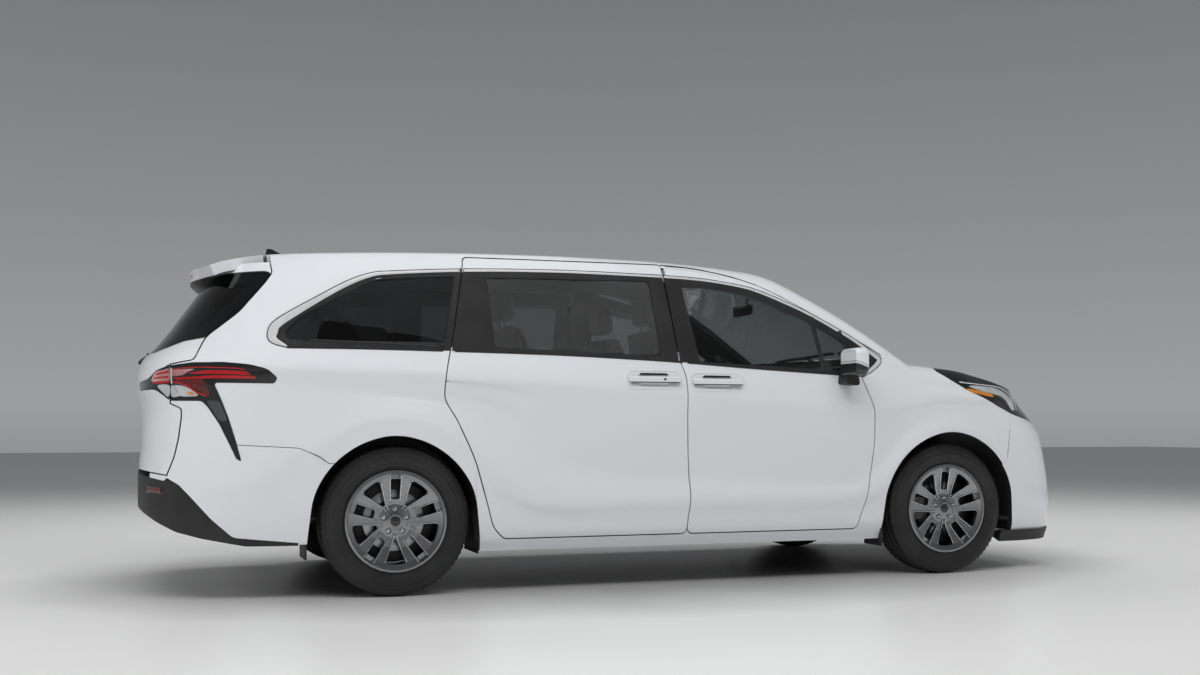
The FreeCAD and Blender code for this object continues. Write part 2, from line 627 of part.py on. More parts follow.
def tailgate():
    """Rear door: outer panel with its window opening, the frame behind the glass, and the roof spoiler."""
    behind = side_prism(TAIL_SEAM, -1300, 1300, -SHUT_GAP / 2)
    shell = tail_skin(62).common(behind)
    shell = shell.cut(side_prism(REAR_GLASS, -1300, 1300, 3))
    for sign in (-1, 1):
        lamp = side_prism(TAILGATE_LAMP, -1300, -430, LAMP_GAP)
        shell = shell.cut(lamp if sign < 0 else left(lamp))
    frame = skin(corner_grid(-1750, -1, steps(1120, 1590, 14), 0.22, 16), 8, 48)
    frame = frame.common(behind).common(side_prism(REAR_GLASS, -1300, 1300, 12))
    frame = frame.cut(side_prism(REAR_GLASS, -1300, 1300, -58))
    roof = skin(top_grid(lambda y: -2438 + 0.00022 * y * y, lambda y: -2116, 585, 8, 12), 0, 52)
    x, z = TAILGATE_PIN
    arm = [(x + 6, z), (x + 5, z - 28), (x - 6, z - 43, 8), (x - 60, z - 52), (x - 60, z - 33), (x - 36, z - 33),
           (x - 11, z - 30, 6), (x - 6, z)]
    arms = []
    for y in (-TAILGATE_HINGE_Y, TAILGATE_HINGE_Y):
        eye = rod((x, y - 8, z), (x, y + 8, z), HINGE_PIN_RADIUS + 3)
        hook = eye.fuse(side_prism(arm, y - 8, y + 8))
        arms.append(hook.cut(rod((x, y - 9, z), (x, y + 9, z), HINGE_PIN_RADIUS + SPINDLE_FIT)))
    plate_room = [(-PLATE_ROOM_TOP / 2, 905, 30), (-PLATE_ROOM_BOTTOM / 2, 690, 30), (PLATE_ROOM_BOTTOM / 2, 690, 30),
                  (PLATE_ROOM_TOP / 2, 905, 30)]
    shell = shell.cut(front_prism(plate_room, TAIL_X - 100, TAIL_X + PLATE_ROOM_DEPTH))
    return fused(shell, frame, roof, *arms)


TAILGATE_LAMP = [(-2553, 1094), (-2606, 1072, 60), (-2644, 1033, 60), (-2720, 1010), (-2720, 985), (-2613, 985, 40),
                 (-2582, 961, 60), (-2553, 940)]


def rear_window():
    grid = corner_grid(-1750, -1, steps(1120, 1590, 14), 0.22, 16)
    return skin(grid, 2.0, 2.0 + GLASS_THICK).common(side_prism(REAR_GLASS, -1300, 1300))


def lamp_solid(shape_skin, points, y1):
    return shape_skin.common(side_prism(points, -1300, y1))


def nose_column(direction, low, plain_rows, round_rows):
    """Points up the skin of the nose in one direction from its pivot, from height low to the edge of the hood."""
    sx, sy = direction
    near, far = 200.0, 1500.0
    for _ in range(34):
        mid = 0.5 * (near + far)
        if mid * sy < edge_y(NOSE_START_X + mid * sx):
            near = mid
        else:
            far = mid
    x, y = NOSE_START_X + near * sx, near * sy
    top, r = top_z(x, y), edge_round(x)
    heights = steps(low, top - r, plain_rows)
    heights += [top - r + r * math.sin(math.pi / 2 * k / round_rows) for k in range(1, round_rows)]
    return [reach(NOSE_START_X, direction, z) for z in heights] + [VEC(x, -y, top)]


def nose_skin(thick, depth0=0, low=226.0, start_angle=0.06, plain_rows=16, columns=18):
    half = []
    for j in range(columns):
        angle = start_angle + (math.pi / 2 - start_angle) * j / columns
        half.append(nose_column((math.sin(angle), math.cos(angle)), low, plain_rows, 4))
    top, r = top_z(HOOD_FRONT_X, 0), edge_round(HOOD_FRONT_X)
    heights = steps(low, top - r, plain_rows) + [top - r + r * math.sin(math.pi / 2 * k / 4) for k in range(1, 5)]
    middle = [VEC(nose_x(z), 0, z) for z in heights]
    columns_all = half + [middle] + [[VEC(p.x, -p.y, p.z) for p in line] for line in reversed(half)]
    grid = [list(row) for row in zip(*columns_all)]
    return skin(grid, depth0, thick)


def hood_rear(y):
    return 1512 - 0.00024 * y * y


def hood_front(y):
    return NOSE_START_X + (HOOD_FRONT_X - 4 - NOSE_START_X) * (1 - (y / 965) ** 2) ** (1 / 2.1)


def hood_outline(inset):
    """The hood's edge in plan: along the fenders, then round the nose."""
    sides = [(x, inset - edge_y(x)) for x in steps(1150, 2310, 18)]
    nose = [(HOOD_FRONT_X - inset - 88 * (y / 450.0) ** 2, -y) for y in (330, 160)]
    half = sides + nose
    return half + [(x, -y) for x, y in reversed(half)]


def hood():
    panel = skin(top_grid(hood_rear, hood_front, 850, 18, 18), 0, HOOD_THICK)
    return panel.common(plan_prism(hood_outline(SHUT_GAP), 600, 1400))


def hood_space():
    """The room that the closed hood and its gap take up, and all that is above the nose."""
    over = skin(top_grid(lambda y: 1180, hood_front, 900, 20, 18), -140, HOOD_THICK + SHUT_GAP)
    return over.common(plan_prism(hood_outline(0.0), 500, 1500))


def span_grid(start_u, end_u, y_gap, nx, ny=14):
    """Points on the top surface between two bowed lines across the car, out to the roof or pillar edge."""
    rows = []
    for f in steps(-1.0, 1.0, ny):
        row = []
        for t in steps(0.0, 1.0, nx):
            y = 700.0 * f
            for _ in range(6):
                x0 = start_u(y)
                x = x0 + (end_u(y) - x0) * t
                y = f * (edge_y(x) - y_gap)
            row.append(VEC(x, y, top_z(x, y)))
        rows.append(row)
    return rows


def bowed(u):
    """A line across the car that is bowed like the windscreen and crosses the centre plane at u."""
    return lambda y: u - SCREEN_BOW * y * y


def roof_panel():
    """Roof skin with the two pockets and pins that carry the arms of the tailgate."""
    panel = skin(span_grid(lambda y: -2100, bowed(516), SEAT_GAP, 22), 0, PANEL_THICK)
    x, z = TAILGATE_PIN
    for y in (-TAILGATE_HINGE_Y, TAILGATE_HINGE_Y):
        panel = panel.cut(block(x - 40, x + 16, y - 14, y + 14, z - 100, z + 10))
        panel = panel.fuse(rod((x, y - 16, z), (x, y + 16, z), HINGE_PIN_RADIUS))
    return panel


def antenna():
    base = -1970.0
    z = top_z(base, 0)
    fin = side_prism([(base - 92, z + 0.3), (base - 78, z + 62, 8), (base - 52, z + 60, 20), (base + 60, z + 4, 20),
                      (base + 74, z + 0.3)], -17, 17)
    taper = front_prism([(-17, z - 20), (-17, z + 3), (-3, z + 70), (3, z + 70), (17, z + 3), (17, z - 20)],
                        base - 100, base + 90)
    return fin.common(taper).cut(skin(top_grid(lambda y: base - 130, lambda y: base + 130, 60, 6, 4), -SEAT_GAP, 30))


def windscreen():
    return skin(span_grid(bowed(520), bowed(1440), 1.0, 18), 1.0, 1.0 + GLASS_THICK)


def cowl():
    """Panel between the windscreen and the hood, with the shelf that carries it on the firewall."""
    band = skin(span_grid(bowed(1441.5), lambda y: hood_rear(y) - SHUT_GAP, 8.0, 6), 1.0, 70)
    front = [(hood_rear(y) - 14, y) for y in steps(-730, 730, 12)]
    shelf = plan_prism(front + [(FIREWALL_X, 730), (FIREWALL_X, -730)], 1128, 1152)
    return fused(band, shelf)


def floor_pan():
    """Cabin floor, load floor between the wheel wells, firewall and the panel behind the rear bumper."""
    y = SILL_INNER_Y - SEAT_GAP
    low, high = FLOOR_Z, FLOOR_Z + FLOOR_THICK
    back = REAR_ARCH_X + REAR_ARCH_RADIUS + 5
    main = block(back, FIREWALL_X, -y, y, low, high)
    rear = block(-2540, back, -WELL_INNER_Y, WELL_INNER_Y, low + 30, high + 30)
    side = REAR_ARCH_X - REAR_ARCH_RADIUS - 5
    behind = block(-2360, side, -y + 70, y - 70, low + 30, high + 30)
    firewall = block(FIREWALL_X - 26, FIREWALL_X, -SIDE_INNER_Y + SEAT_GAP, SIDE_INNER_Y - SEAT_GAP,
                     high + 30 + SEAT_GAP, 1128 - SEAT_GAP)
    toe = block(FIREWALL_X - 26, FIREWALL_X, -y, y, high, 1100)
    panel = block(-2540, -2500, -560, 560, low + 30, 560)
    bracket = block(TAIL_X + 66 + SEAT_GAP, -2540, -140, 140, 470, 540)
    return fused(main, rear, behind, firewall, toe, panel, bracket)


def wheel_liner_front():
    x, z = FRONT_ARCH_X, TYRE_RADIUS - 6
    outer = FRONT_ARCH_X - FIREWALL_X - SEAT_GAP
    shell = rod((x, -980, z), (x, -480, z), outer).cut(rod((x, -990, z), (x, -470, z), outer - 6))
    shell = shell.common(block(x - 600, x + 600, -1000, -400, 300, 900))
    shell = shell.cut(skin(fender_grid(), -60, FENDER_THICK + SEAT_GAP))
    shell = shell.cut(nose_skin(40 + SEAT_GAP, -60))
    return shell.cut(rod((FRONT_AXLE_X, -600, 600), (FRONT_AXLE_X, -600, 900), 64))


def wheel_liner_rear():
    x, z = REAR_ARCH_X, TYRE_RADIUS - 6
    outer = REAR_ARCH_RADIUS + 4
    y = SIDE_INNER_Y - SEAT_GAP
    shell = rod((x, -y, z), (x, -WELL_INNER_Y - SEAT_GAP, z), outer)
    shell = shell.cut(rod((x, -y - 10, z), (x, -WELL_INNER_Y - 8, z), outer - 8))
    return shell.common(block(x - 600, x + 600, -1000, -400, FLOOR_Z + 32, 900))


def mudflap_front():
    """Flap behind the front wheel, against the front end of the sill."""
    x = SILL_FRONT_X + SEAT_GAP
    flap = block(x, x + FLAP_THICK, -965, -SILL_INNER_Y, 165, 300 - SEAT_GAP)
    flap = flap.cut(skin(fender_grid(), -40, FENDER_THICK + SEAT_GAP).common(block(900, 1300, -1200, -400, ROCKER_Z - 4,
                                                                                  400)))
    return max(flap.Solids, key=lambda solid: solid.Volume)


def mudflap_rear():
    """Flap behind the rear wheel, against the end of the load floor."""
    x = REAR_ARCH_X - REAR_ARCH_RADIUS - 5 + SEAT_GAP
    flap = block(x, x + FLAP_THICK, -915, -WELL_INNER_Y - 10, 185, FLOOR_Z + 32 - SEAT_GAP)
    flap = flap.cut(rear_skin(46 + SEAT_GAP, -40).common(block(-2200, -1800, -1300, -400, 261, 700)))
    return max(flap.Solids, key=lambda solid: solid.Volume)


def fender_grid():
    return side_grid(938, 2120, 34)


def door_swing(door):
    """The room that the front edge of the door takes up behind the fender while it opens."""
    edge = door.common(block(900, 1110, -1150, -880, 280, 640))
    swept = []
    for angle in range(20, 70, 5):
        turned = edge.copy()
        turned.rotate(VEC(DOOR_PIN_X, DOOR_PIN_Y, 0), VEC(0, 0, 1), angle)
        for forward, outward in ((0.9, 0.0), (0.6, -0.6)):
            moved = turned.copy()
            moved.translate(VEC(forward, outward, 0))
            swept.append(moved)
    return swept


def front_fender(door):
    panel = skin(fender_grid(), 0, FENDER_THICK)
    panel = panel.cut(side_prism(FRONT_DOOR, grow=SHUT_GAP))
    panel = panel.cut(side_prism([(800, 150), (FRONT_ARCH_X, 150), (FRONT_ARCH_X, ROCKER_Z - 3), (800, ROCKER_Z - 3)]))
    panel = panel.cut(side_prism([(800, 1108), (1128, 1168), (1150, 1185, 20), (1214, 1240, 20), (1214, 1800),
                                  (800, 1800)], grow=1.0))
    panel = panel.cut(arch_prism(FRONT_ARCH_X, FRONT_ARCH_RADIUS, 12))
    panel = panel.cut(side_prism(NOSE_SEAM, grow=SHUT_GAP / 4))
    panel = panel.cut(side_prism(HEADLAMP, grow=LAMP_GAP))
    for swept in door_swing(door):
        if swept.BoundBox.XMax > 990:
            panel = panel.cut(swept)
    return max(panel.Solids, key=lambda solid: solid.Volume)


NOSE_SEAM = [(1840, 100), (1840, 560), (1920, 640), (1990, 893), (2150, 893), (2600, 893), (2600, 100)]


def front_bumper():
    """Nose panel below the hood and lamps, with the opening of the grille."""
    panel = nose_skin(40).cut(side_prism(HEADLAMP, -1300, -LAMP_INNER_Y, LAMP_GAP))
    panel = panel.cut(left(side_prism(HEADLAMP, -1300, -LAMP_INNER_Y, LAMP_GAP)))
    panel = panel.common(side_prism(NOSE_SEAM[:-2] + [(2150, 1100), (2600, 1100), (2600, 100)], -1300, 1300,
                                    -SHUT_GAP / 4))
    cutter = arch_prism(FRONT_ARCH_X, FRONT_ARCH_RADIUS, 12)
    panel = panel.cut(cutter).cut(left(cutter)).cut(hood_space())
    return panel.cut(front_prism(GRILLE, 2000, 2700))


GRILLE = [(-600, 300, 30), (600, 300, 30), (470, 690, 50), (-470, 690, 50)]


def front_grille():
    """A frame in the bumper opening with cross bars."""
    deep = nose_skin(46, 14)
    ring = deep.common(front_prism(GRILLE, 2000, 2700, -GLASS_GAP / 2))
    holes = []
    for i in range(6):
        z = 322 + 60 * i
        reach_y = 600 - (z - 300) / 3.0 - 34
        holes.append(front_prism([(-reach_y, z, 12), (reach_y, z, 12), (reach_y - 13, z + 38, 12),
                                  (13 - reach_y, z + 38, 12)], 2000, 2700))
    return ring.cut(Part.makeCompound(holes))


def headlamp():
    """Lamp unit that wraps from the fender round to the grille, under the edge of the hood."""
    lens = nose_skin(60, 0, 780.0, -0.3, 8, 22)
    lens = lens.common(side_prism(HEADLAMP, -1300, -LAMP_INNER_Y - LAMP_GAP))
    return lens.cut(hood_space())


def front_lip():
    lip = skin(corner_grid(NOSE_START_X, 1, steps(168, 232, 4), 0.06, 16), -12, 60)
    return lip.common(block(1900, 2600, -1100, 1100, 100, 226 - SEAT_GAP))


def rear_skin(thick, depth0=0):
    return skin(corner_grid(-1750, -1, steps(250, 960, 20), -0.1, 20), depth0, thick)


VALANCE = [(-2800, 602), (-2690, 584, 100), (-2574, 560, 10), (-2563, 574, 5), (-2512, 543, 40), (-2462, 489, 60),
           (-2374, 388, 100), (-2277, 300, 60), (-1985, 270), (-1985, 256), (-2220, 258, 60), (-2412, 295, 100),
           (-2525, 324, 80), (-2607, 365, 80), (-2700, 425), (-2800, 440)]


def rear_bumper():
    """White corner of the rear bumper, between the wheel arch and the tailgate."""
    corner = rear_skin(46).common(side_prism(BUMPER_CORNER, -1300, -200, -SHUT_GAP / 2))
    corner = corner.cut(block(-1700 - 600, -1600, -1200, 0, 100, 262))
    corner = corner.cut(arch_prism(REAR_ARCH_X, REAR_ARCH_RADIUS, 12))
    corner = corner.cut(side_prism(VALANCE))
    corner = corner.cut(side_prism([(-1985, 262), (-2220, 262), (-2412, 300), (-2607, 380), (-2800, 500),
                                    (-2800, 100), (-1985, 100)]))
    corner = corner.cut(side_prism(TAIL_LAMP, grow=LAMP_GAP))
    corner = corner.cut(side_prism(TAIL_SEAM, -1300, 0, SHUT_GAP / 2))
    return max(corner.Solids, key=lambda solid: solid.Volume)


def rear_valance():
    return rear_skin(66, 4).common(side_prism(VALANCE, -1300, 1300))


def tyre(x, side):
    """Tyre with a flat tread, sloped shoulders and side walls that draw in to the rim."""
    r, w = TYRE_RADIUS, TYRE_WIDTH / 2
    bead = RIM_RADIUS - 12
    half = [(w - 24, bead), (w - 24, bead + 11), (w - 1, bead + 36), (w - 3, r - 42), (w - 26, r)]
    solid = lathe(half + [(-a, b) for a, b in reversed(half)])
    solid.translate(VEC(x, side * TRACK / 2, TYRE_RADIUS))
    return solid


def lathe(points):
    """A solid of revolution about the wheel axis; points are (distance outwards from the wheel centre, radius)."""
    wire = Part.makePolygon([VEC(a, 0, b) for a, b in points + points[:1]])
    solid = Part.Face(wire).revolve(VEC(0, 0, 0), VEC(1, 0, 0), 360)
    solid.rotate(VEC(0, 0, 0), VEC(0, 0, 1), 90)
    return solid


def wheel_outline(points, angle, grow, y):
    """A closed wire in the plane of the wheel at depth y; points are (radius, sideways, corner radius)."""
    c, s = math.cos(math.radians(angle)), math.sin(math.radians(angle))
    middle = sum(p[0] for p in points) / len(points)
    grown_points = []
    for r, side, corner in points:
        along = r + grow * (1 if r > middle else -1)
        across = side + grow * (0 if side == 0 else math.copysign(1, side))
        grown_points.append((along * c - across * s, along * s + across * c, corner))
    return outline(grown_points, lambda a, b: VEC(a, y, b))


def wheel_window(points, angle):
    """Cutter for one opening between the spokes, wider at the outer face."""
    deep = wheel_outline(points, angle, 0.0, HUB_FACE - 30)
    face = wheel_outline(points, angle, SPOKE_DRAFT, TYRE_WIDTH / 2)
    return Part.makeLoft([deep, face], True, True)


def rim_centred():
    """Rim whose dished face is cut into five pairs of spokes; the outer side faces +Y, the centre is the origin."""
    bead = RIM_RADIUS - 12 - SEAT_GAP
    w = TYRE_WIDTH / 2
    barrel = lathe([(-w + 14, bead - 12), (-w + 14, bead + 10), (-w + 21, bead + 10), (-w + 23, bead),
                    (w - 23, bead), (w - 21, bead + 10), (w - 14, bead + 10), (w - 12, bead - 2),
                    (w - 30, bead - 11), (-w + 60, bead - 11)])
    face = lathe([(HUB_FACE - 4, 0), (HUB_FACE - 4, 74), (HUB_FACE + 8, 84), (HUB_FACE + 10, 150),
                  (w - 58, bead - 34), (w - 52, bead - 6),
                  (w - 18, bead - 6), (w - 27, bead - 26), (HUB_FACE + 29, 130), (HUB_FACE + 25, 80),
                  (HUB_FACE + 32, 44), (HUB_FACE + 36, 32), (HUB_FACE + 37, 0)])
    slot = [(bead * 0.46, -19, 16), (bead * 0.84, -23, 10), (bead * 0.84, 23, 10), (bead * 0.46, 19, 16)]
    gap = [(bead * 0.40, -4, 3), (bead * 0.85, -45, 13), (bead * 0.87, 0, 300), (bead * 0.85, 45, 13),
           (bead * 0.40, 4, 3)]
    shelf = [(bead * 0.82, -20, 3), (bead - 8, -20, 3), (bead - 8, 20, 3), (bead * 0.82, 20, 3)]
    for k in range(SPOKE_PAIRS):
        angle = 90 + 360 / SPOKE_PAIRS * k
        face = face.cut(wheel_window(slot, angle))
        face = face.cut(wheel_window(gap, angle + 180 / SPOKE_PAIRS))
        top = Part.Face(wheel_outline(shelf, angle, 0.0, w - 38)).extrude(VEC(0, 60, 0))
        face = face.cut(top)
        c, s = math.cos(math.radians(angle)), math.sin(math.radians(angle))
        nut_x, nut_z = LUG_CIRCLE / 2 * c, LUG_CIRCLE / 2 * s
        face = face.cut(rod((nut_x, HUB_FACE + 18, nut_z), (nut_x, w, nut_z), LUG_POCKET_RADIUS))
    wheel = barrel.fuse(face)
    disc = lathe([(DISC_FACE, 0), (DISC_FACE, DISC_RADIUS), (DISC_FACE + DISC_THICK, DISC_RADIUS),
                  (DISC_FACE + DISC_THICK, 74), (HUB_FACE - 4, 74), (HUB_FACE - 4, 0)])
    bore = rod((0, DISC_FACE - 5, 0), (0, HUB_FACE + 12, 0), SPINDLE_RADIUS + SPINDLE_FIT)
    return wheel.fuse(disc).cut(bore)


def placed_wheel(shape, x, side):
    out = shape.copy() if side > 0 else left(shape)
    out.translate(VEC(x, side * TRACK / 2, TYRE_RADIUS))
    return out


def spindle(x):
    y = TRACK / 2
    return rod((x, -y + 40, TYRE_RADIUS), (x, -y - HUB_FACE - 6, TYRE_RADIUS), SPINDLE_RADIUS)


def knuckle():
    """Steered carrier of the right front wheel, with its spindle, lower joint and brake caliper."""
    x, y, z = FRONT_AXLE_X, TRACK / 2, TYRE_RADIUS
    inner = -y - DISC_FACE + 4
    upright = block(x - 38, x + 38, inner, inner + 34, z - 92, z + 92)
    boss = rod((x, inner + 50, z), (x, inner, z), 58)
    stud = rod((x, -KINGPIN_Y, ARM_TOP + SEAT_GAP), (x, -KINGPIN_Y, z - 88), 20)
    caliper = block(x - 178, x - 92, -y - DISC_THICK - 20, inner + 26, z - 60, z + 60)
    slot = block(x - 162, x - 20, -y - DISC_FACE - DISC_THICK - 4.5, -y - DISC_FACE + 4, z - 130, z + 130)
    bridge = block(x - 120, x - 20, inner, inner + 26, z - 50, z + 50)
    slot = slot.cut(rod((x, -y - 60, z), (x, -y + 60, z), 40))
    return fused(upright, boss, stud, spindle(x), caliper.cut(slot), bridge)


def front_subframe():
    """Cross member, lower arms, struts and the upper rails that carry the engine bay."""
    x = FRONT_AXLE_X
    cradle = block(FIREWALL_X + SEAT_GAP, x + 330, -430, 430, FLOOR_Z - 110, FLOOR_Z - 40)
    arm = plan_prism([(x - 200, -425), (x + 200, -425), (x + 160, -540, 40), (x + 32, -700, 60),
                      (x + 30, -KINGPIN_Y - 8), (x + 12, -KINGPIN_Y - 20), (x - 12, -KINGPIN_Y - 20),
                      (x - 30, -KINGPIN_Y - 8), (x - 32, -700, 60),
                      (x - 160, -540, 40)], ARM_TOP - ARM_THICK, ARM_TOP)
    strut = rod((x, -600, ARM_TOP - 5), (x, -600, 850), 30)
    spring = rod((x, -600, 430), (x, -600, 800), 58)
    rail = block(FIREWALL_X + SEAT_GAP, x + 560, -700, -560, 802, 870)
    post = block(x + 500, x + 560, -650, -380, 250, 870)
    foot = block(x + 300, x + 560, -430, -380, 250, 300)
    side = fused(arm, strut, spring, rail, post, foot)
    return fused(cradle, side, left(side))


def rear_axle():
    """Cross beam with trailing arms, springs and the two rear spindles."""
    x, y, z = REAR_AXLE_X, TRACK / 2, TYRE_RADIUS
    inner = -y - DISC_FACE + 4
    beam = block(x + 90, x + 170, -640, 640, 215, 280)
    arm = block(x - 60, x + 330, -700, -640, 240, 300)
    outer_carrier = block(x - 60, x + 60, inner, -WELL_INNER_Y - 12, z - 70, z + 60)
    carrier = fused(outer_carrier, block(x - 60, x + 60, -WELL_INNER_Y - 20, -640, z - 70, FLOOR_Z + 20))
    mount = block(x + 300, x + 330, -700, -640, 240, FLOOR_Z - SEAT_GAP)
    spring = rod((x - 20, -600, z - 90), (x - 20, -600, FLOOR_Z + 30 - SEAT_GAP), 50)
    pad = block(x - 60, x + 170, -650, -560, 225, 280)
    side = fused(arm, carrier, mount, spring, pad, spindle(x))
    return fused(beam, side, left(side))


def engine_block():
    x = FRONT_AXLE_X
    return block(x - 300, x + 300, -400, 400, FLOOR_Z - 40 + SEAT_GAP, 960)


def exhaust():
    z = 311.0
    pipe = rod((1000, 120, z), (-1960, 120, z), 24)
    box = block(-2250, -1950, -260, 330, z - 55, z + 50)
    box = box.makeFillet(30, [e for e in box.Edges if abs(e.tangentAt(e.FirstParameter).y) > 0.9])
    hangers = [block(x, x + 20, 110, 130, z, FLOOR_Z - SEAT_GAP) for x in (-900, 0, 900)]
    hangers.append(block(-2110, -2090, 20, 40, z, FLOOR_Z + 30 - SEAT_GAP))
    return fused(pipe, box, *hangers)


def dashboard():
    x = FIREWALL_X - 26 - SEAT_GAP
    body = side_prism([(x, 640), (x, 1148), (x - 60, 1150, 20), (x - 260, 1110, 60), (x - 300, 1010, 50),
                       (x - 240, 760, 60), (x - 120, 640, 40)], -780, 780)
    return body


def steering_wheel():
    centre = VEC(640, 370, 1090)
    ring = Part.makeTorus(180, 15, VEC(0, 0, 0), VEC(0, 0, 1))
    hub = Part.makeCylinder(52, 40, VEC(0, 0, -22))
    spokes = [block(-180, -30, -16, 16, -9, 9), block(30, 180, -16, 16, -9, 9), block(-16, 16, -180, -30, -9, 9)]
    wheel = fused(ring, hub, *spokes)
    wheel.rotate(VEC(0, 0, 0), VEC(0, 0, 1), 90)
    wheel.rotate(VEC(0, 0, 0), VEC(0, 1, 0), -62)
    wheel.translate(centre)
    reach_in = VEC(math.sin(math.radians(62)), 0, -math.cos(math.radians(62)))
    column = Part.makeCylinder(30, 210, centre + reach_in * 18, reach_in)
    return fused(wheel, column.cut(dashboard()))


def seat(x, y, width, heads, floor, recline=14.0):
    """A seat with a thick cushion, a leaning backrest and one headrest for each place in heads."""
    top = floor + 375
    lean = math.tan(math.radians(recline))
    back = [(x - 120, top - 150, 40), (x + 330, top - 130, 40), (x + 380, top + 10, 60), (x + 330, top + 32, 30),
            (x + 20, top - 8, 50), (x - 40 - 560 * lean, top + 560, 50), (x - 130 - 560 * lean, top + 575, 50),
            (x - 170, top - 60, 60)]
    parts = [side_prism(back, y - width / 2, y + width / 2)]
    parts.append(block(x - 60, x + 280, y - width / 2 + 40, y + width / 2 - 40, floor + SEAT_GAP, top - 120))
    hx = x - 85 - 560 * lean
    for place in heads:
        parts.append(side_prism([(hx - 50, top + 600, 30), (hx + 42, top + 596, 30), (hx + 20, top + 760, 30),
                                 (hx - 62, top + 755, 30)], place - 125, place + 125))
        parts.append(side_prism([(hx - 20, top + 520), (hx + 8, top + 520), (hx, top + 640), (hx - 28, top + 640)],
                                place - 60, place + 60))
    return fused(*parts)


def mirror():
    """Housing of the right door mirror, and the foot that carries it on the front corner of the door."""
    x, z = 872.0, 1148.0
    y = -1068.0
    shell = block(x - 36, x + 54, y - 104, y + 82, z - 68, z + 78)
    shell = shell.makeFillet(34, shell.Edges)
    shell = shell.cut(block(x - 60, x - 28, y - 90, y + 70, z - 55, z + 64))
    arm = side_prism([(x - 28, z - 110, 14), (x + 60, z - 118, 14), (x + 48, z - 30, 14), (x - 8, z - 30, 14)],
                     y + 20, -900)
    foot = arm.cut(shell).cut(skin(side_grid(700, 1100), -SEAT_GAP, 90))
    return shell, max(foot.Solids, key=lambda solid: solid.Volume)


def export_pair(name, shape):
    export(name + "_right", shape)
    export(name + "_left", left(shape))


def export_all():
    front_door, front_glass, sliding, sliding_glass = side_doors()
    export_pair("front_door", fused(front_door.cut(handle_cup(*FRONT_HANDLE)), handle(*FRONT_HANDLE)))
    export_pair("front_glass", front_glass)
    housing, foot = mirror()
    export_pair("mirror", housing)
    export_pair("mirror_foot", foot)
    export_pair("sliding_door", fused(sliding.cut(handle_cup(*SLIDING_HANDLE)), handle(*SLIDING_HANDLE)))
    export("sliding_door_glass", sliding_glass, left(sliding_glass))
    frame = side_frame()
    export("side_frames", frame, left(frame))
    quarter = rear_quarter()
    export("rear_quarters", quarter, left(quarter))
    quarter_pane = pane(quarter_grid(), QUARTER_WINDOW)
    export("quarter_glass", quarter_pane, left(quarter_pane))
    export("tailgate", tailgate())
    export("tailgate_glass", rear_window())
    lamp = lamp_solid(tail_skin(60), TAILGATE_LAMP, -430)
    export("tailgate_lamps", lamp, left(lamp))
    lamp = lamp_solid(tail_skin(60), TAIL_LAMP, -430)
    export("tail_lamps", lamp, left(lamp))
    export("hood", hood())
    export("roof_panel", roof_panel())
    export("antenna", antenna())
    export("windscreen", windscreen())
    export("cowl", cowl())
    export("floor_pan", floor_pan())
    liner = wheel_liner_front()
    rear_liner = wheel_liner_rear()
    export("wheel_liners", liner, left(liner), rear_liner, left(rear_liner))
    flap, rear_flap = mudflap_front(), mudflap_rear()
    export("mudflaps", flap, left(flap), rear_flap, left(rear_flap))
    fender = front_fender(front_door)
    export("front_fenders", fender, left(fender))
    lamp = headlamp()
    export("headlamps", lamp, left(lamp))
    export("front_bumper", front_bumper())
    export("front_grille", front_grille())
    export("front_lip", front_lip())
    corner = rear_bumper()
    export("rear_bumper", corner, left(corner))
    export("rear_valance", rear_valance())
    wheel = rim_centred()
    for place, x in (("front", FRONT_AXLE_X), ("rear", REAR_AXLE_X)):
        for hand, side in (("right", -1), ("left", 1)):
            export("tyre_%s_%s" % (place, hand), tyre(x, side))
            export("rim_%s_%s" % (place, hand), placed_wheel(wheel, x, side))
    export_pair("knuckle", knuckle())
    export("front_subframe", front_subframe())
    export("rear_axle", rear_axle())
    export("engine_block", engine_block())
    export("exhaust", exhaust())
    export("dashboard", dashboard())
    export("steering_wheel", steering_wheel())
    floor = FLOOR_Z + FLOOR_THICK
    front_seat = seat(200, -370, 500, [-370], floor)
    export("front_seats", front_seat, left(front_seat))
    middle_seat = seat(-620, -370, 500, [-370], floor)
    export("middle_seats", middle_seat, left(middle_seat))
    export("rear_bench", seat(-1500, 0, 1240, [-420, 0, 420], floor + 30))


export_all()
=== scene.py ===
import math

import bmesh
import bpy
import numpy as np
from mathutils import Matrix, Vector
from mathutils.bvhtree import BVHTree
from mathutils.geometry import delaunay_2d_cdt


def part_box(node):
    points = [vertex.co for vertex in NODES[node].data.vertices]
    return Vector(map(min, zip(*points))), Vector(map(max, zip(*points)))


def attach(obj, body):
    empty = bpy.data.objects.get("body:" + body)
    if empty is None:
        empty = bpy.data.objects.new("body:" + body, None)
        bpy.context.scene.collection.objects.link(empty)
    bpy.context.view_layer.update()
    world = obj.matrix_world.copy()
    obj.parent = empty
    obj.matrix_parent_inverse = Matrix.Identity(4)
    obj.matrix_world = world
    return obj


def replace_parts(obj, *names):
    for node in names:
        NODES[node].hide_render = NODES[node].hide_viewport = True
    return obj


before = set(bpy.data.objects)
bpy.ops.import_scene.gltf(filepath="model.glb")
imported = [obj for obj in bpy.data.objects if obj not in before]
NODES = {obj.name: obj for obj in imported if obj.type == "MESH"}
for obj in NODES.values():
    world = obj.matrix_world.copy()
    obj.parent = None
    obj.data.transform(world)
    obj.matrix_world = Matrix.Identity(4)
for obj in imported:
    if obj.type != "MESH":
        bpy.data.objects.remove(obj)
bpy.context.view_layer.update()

MID = 0.1175  # the middle of the wheelbase lies this far ahead of the frame's origin
SCENE = bpy.context.scene
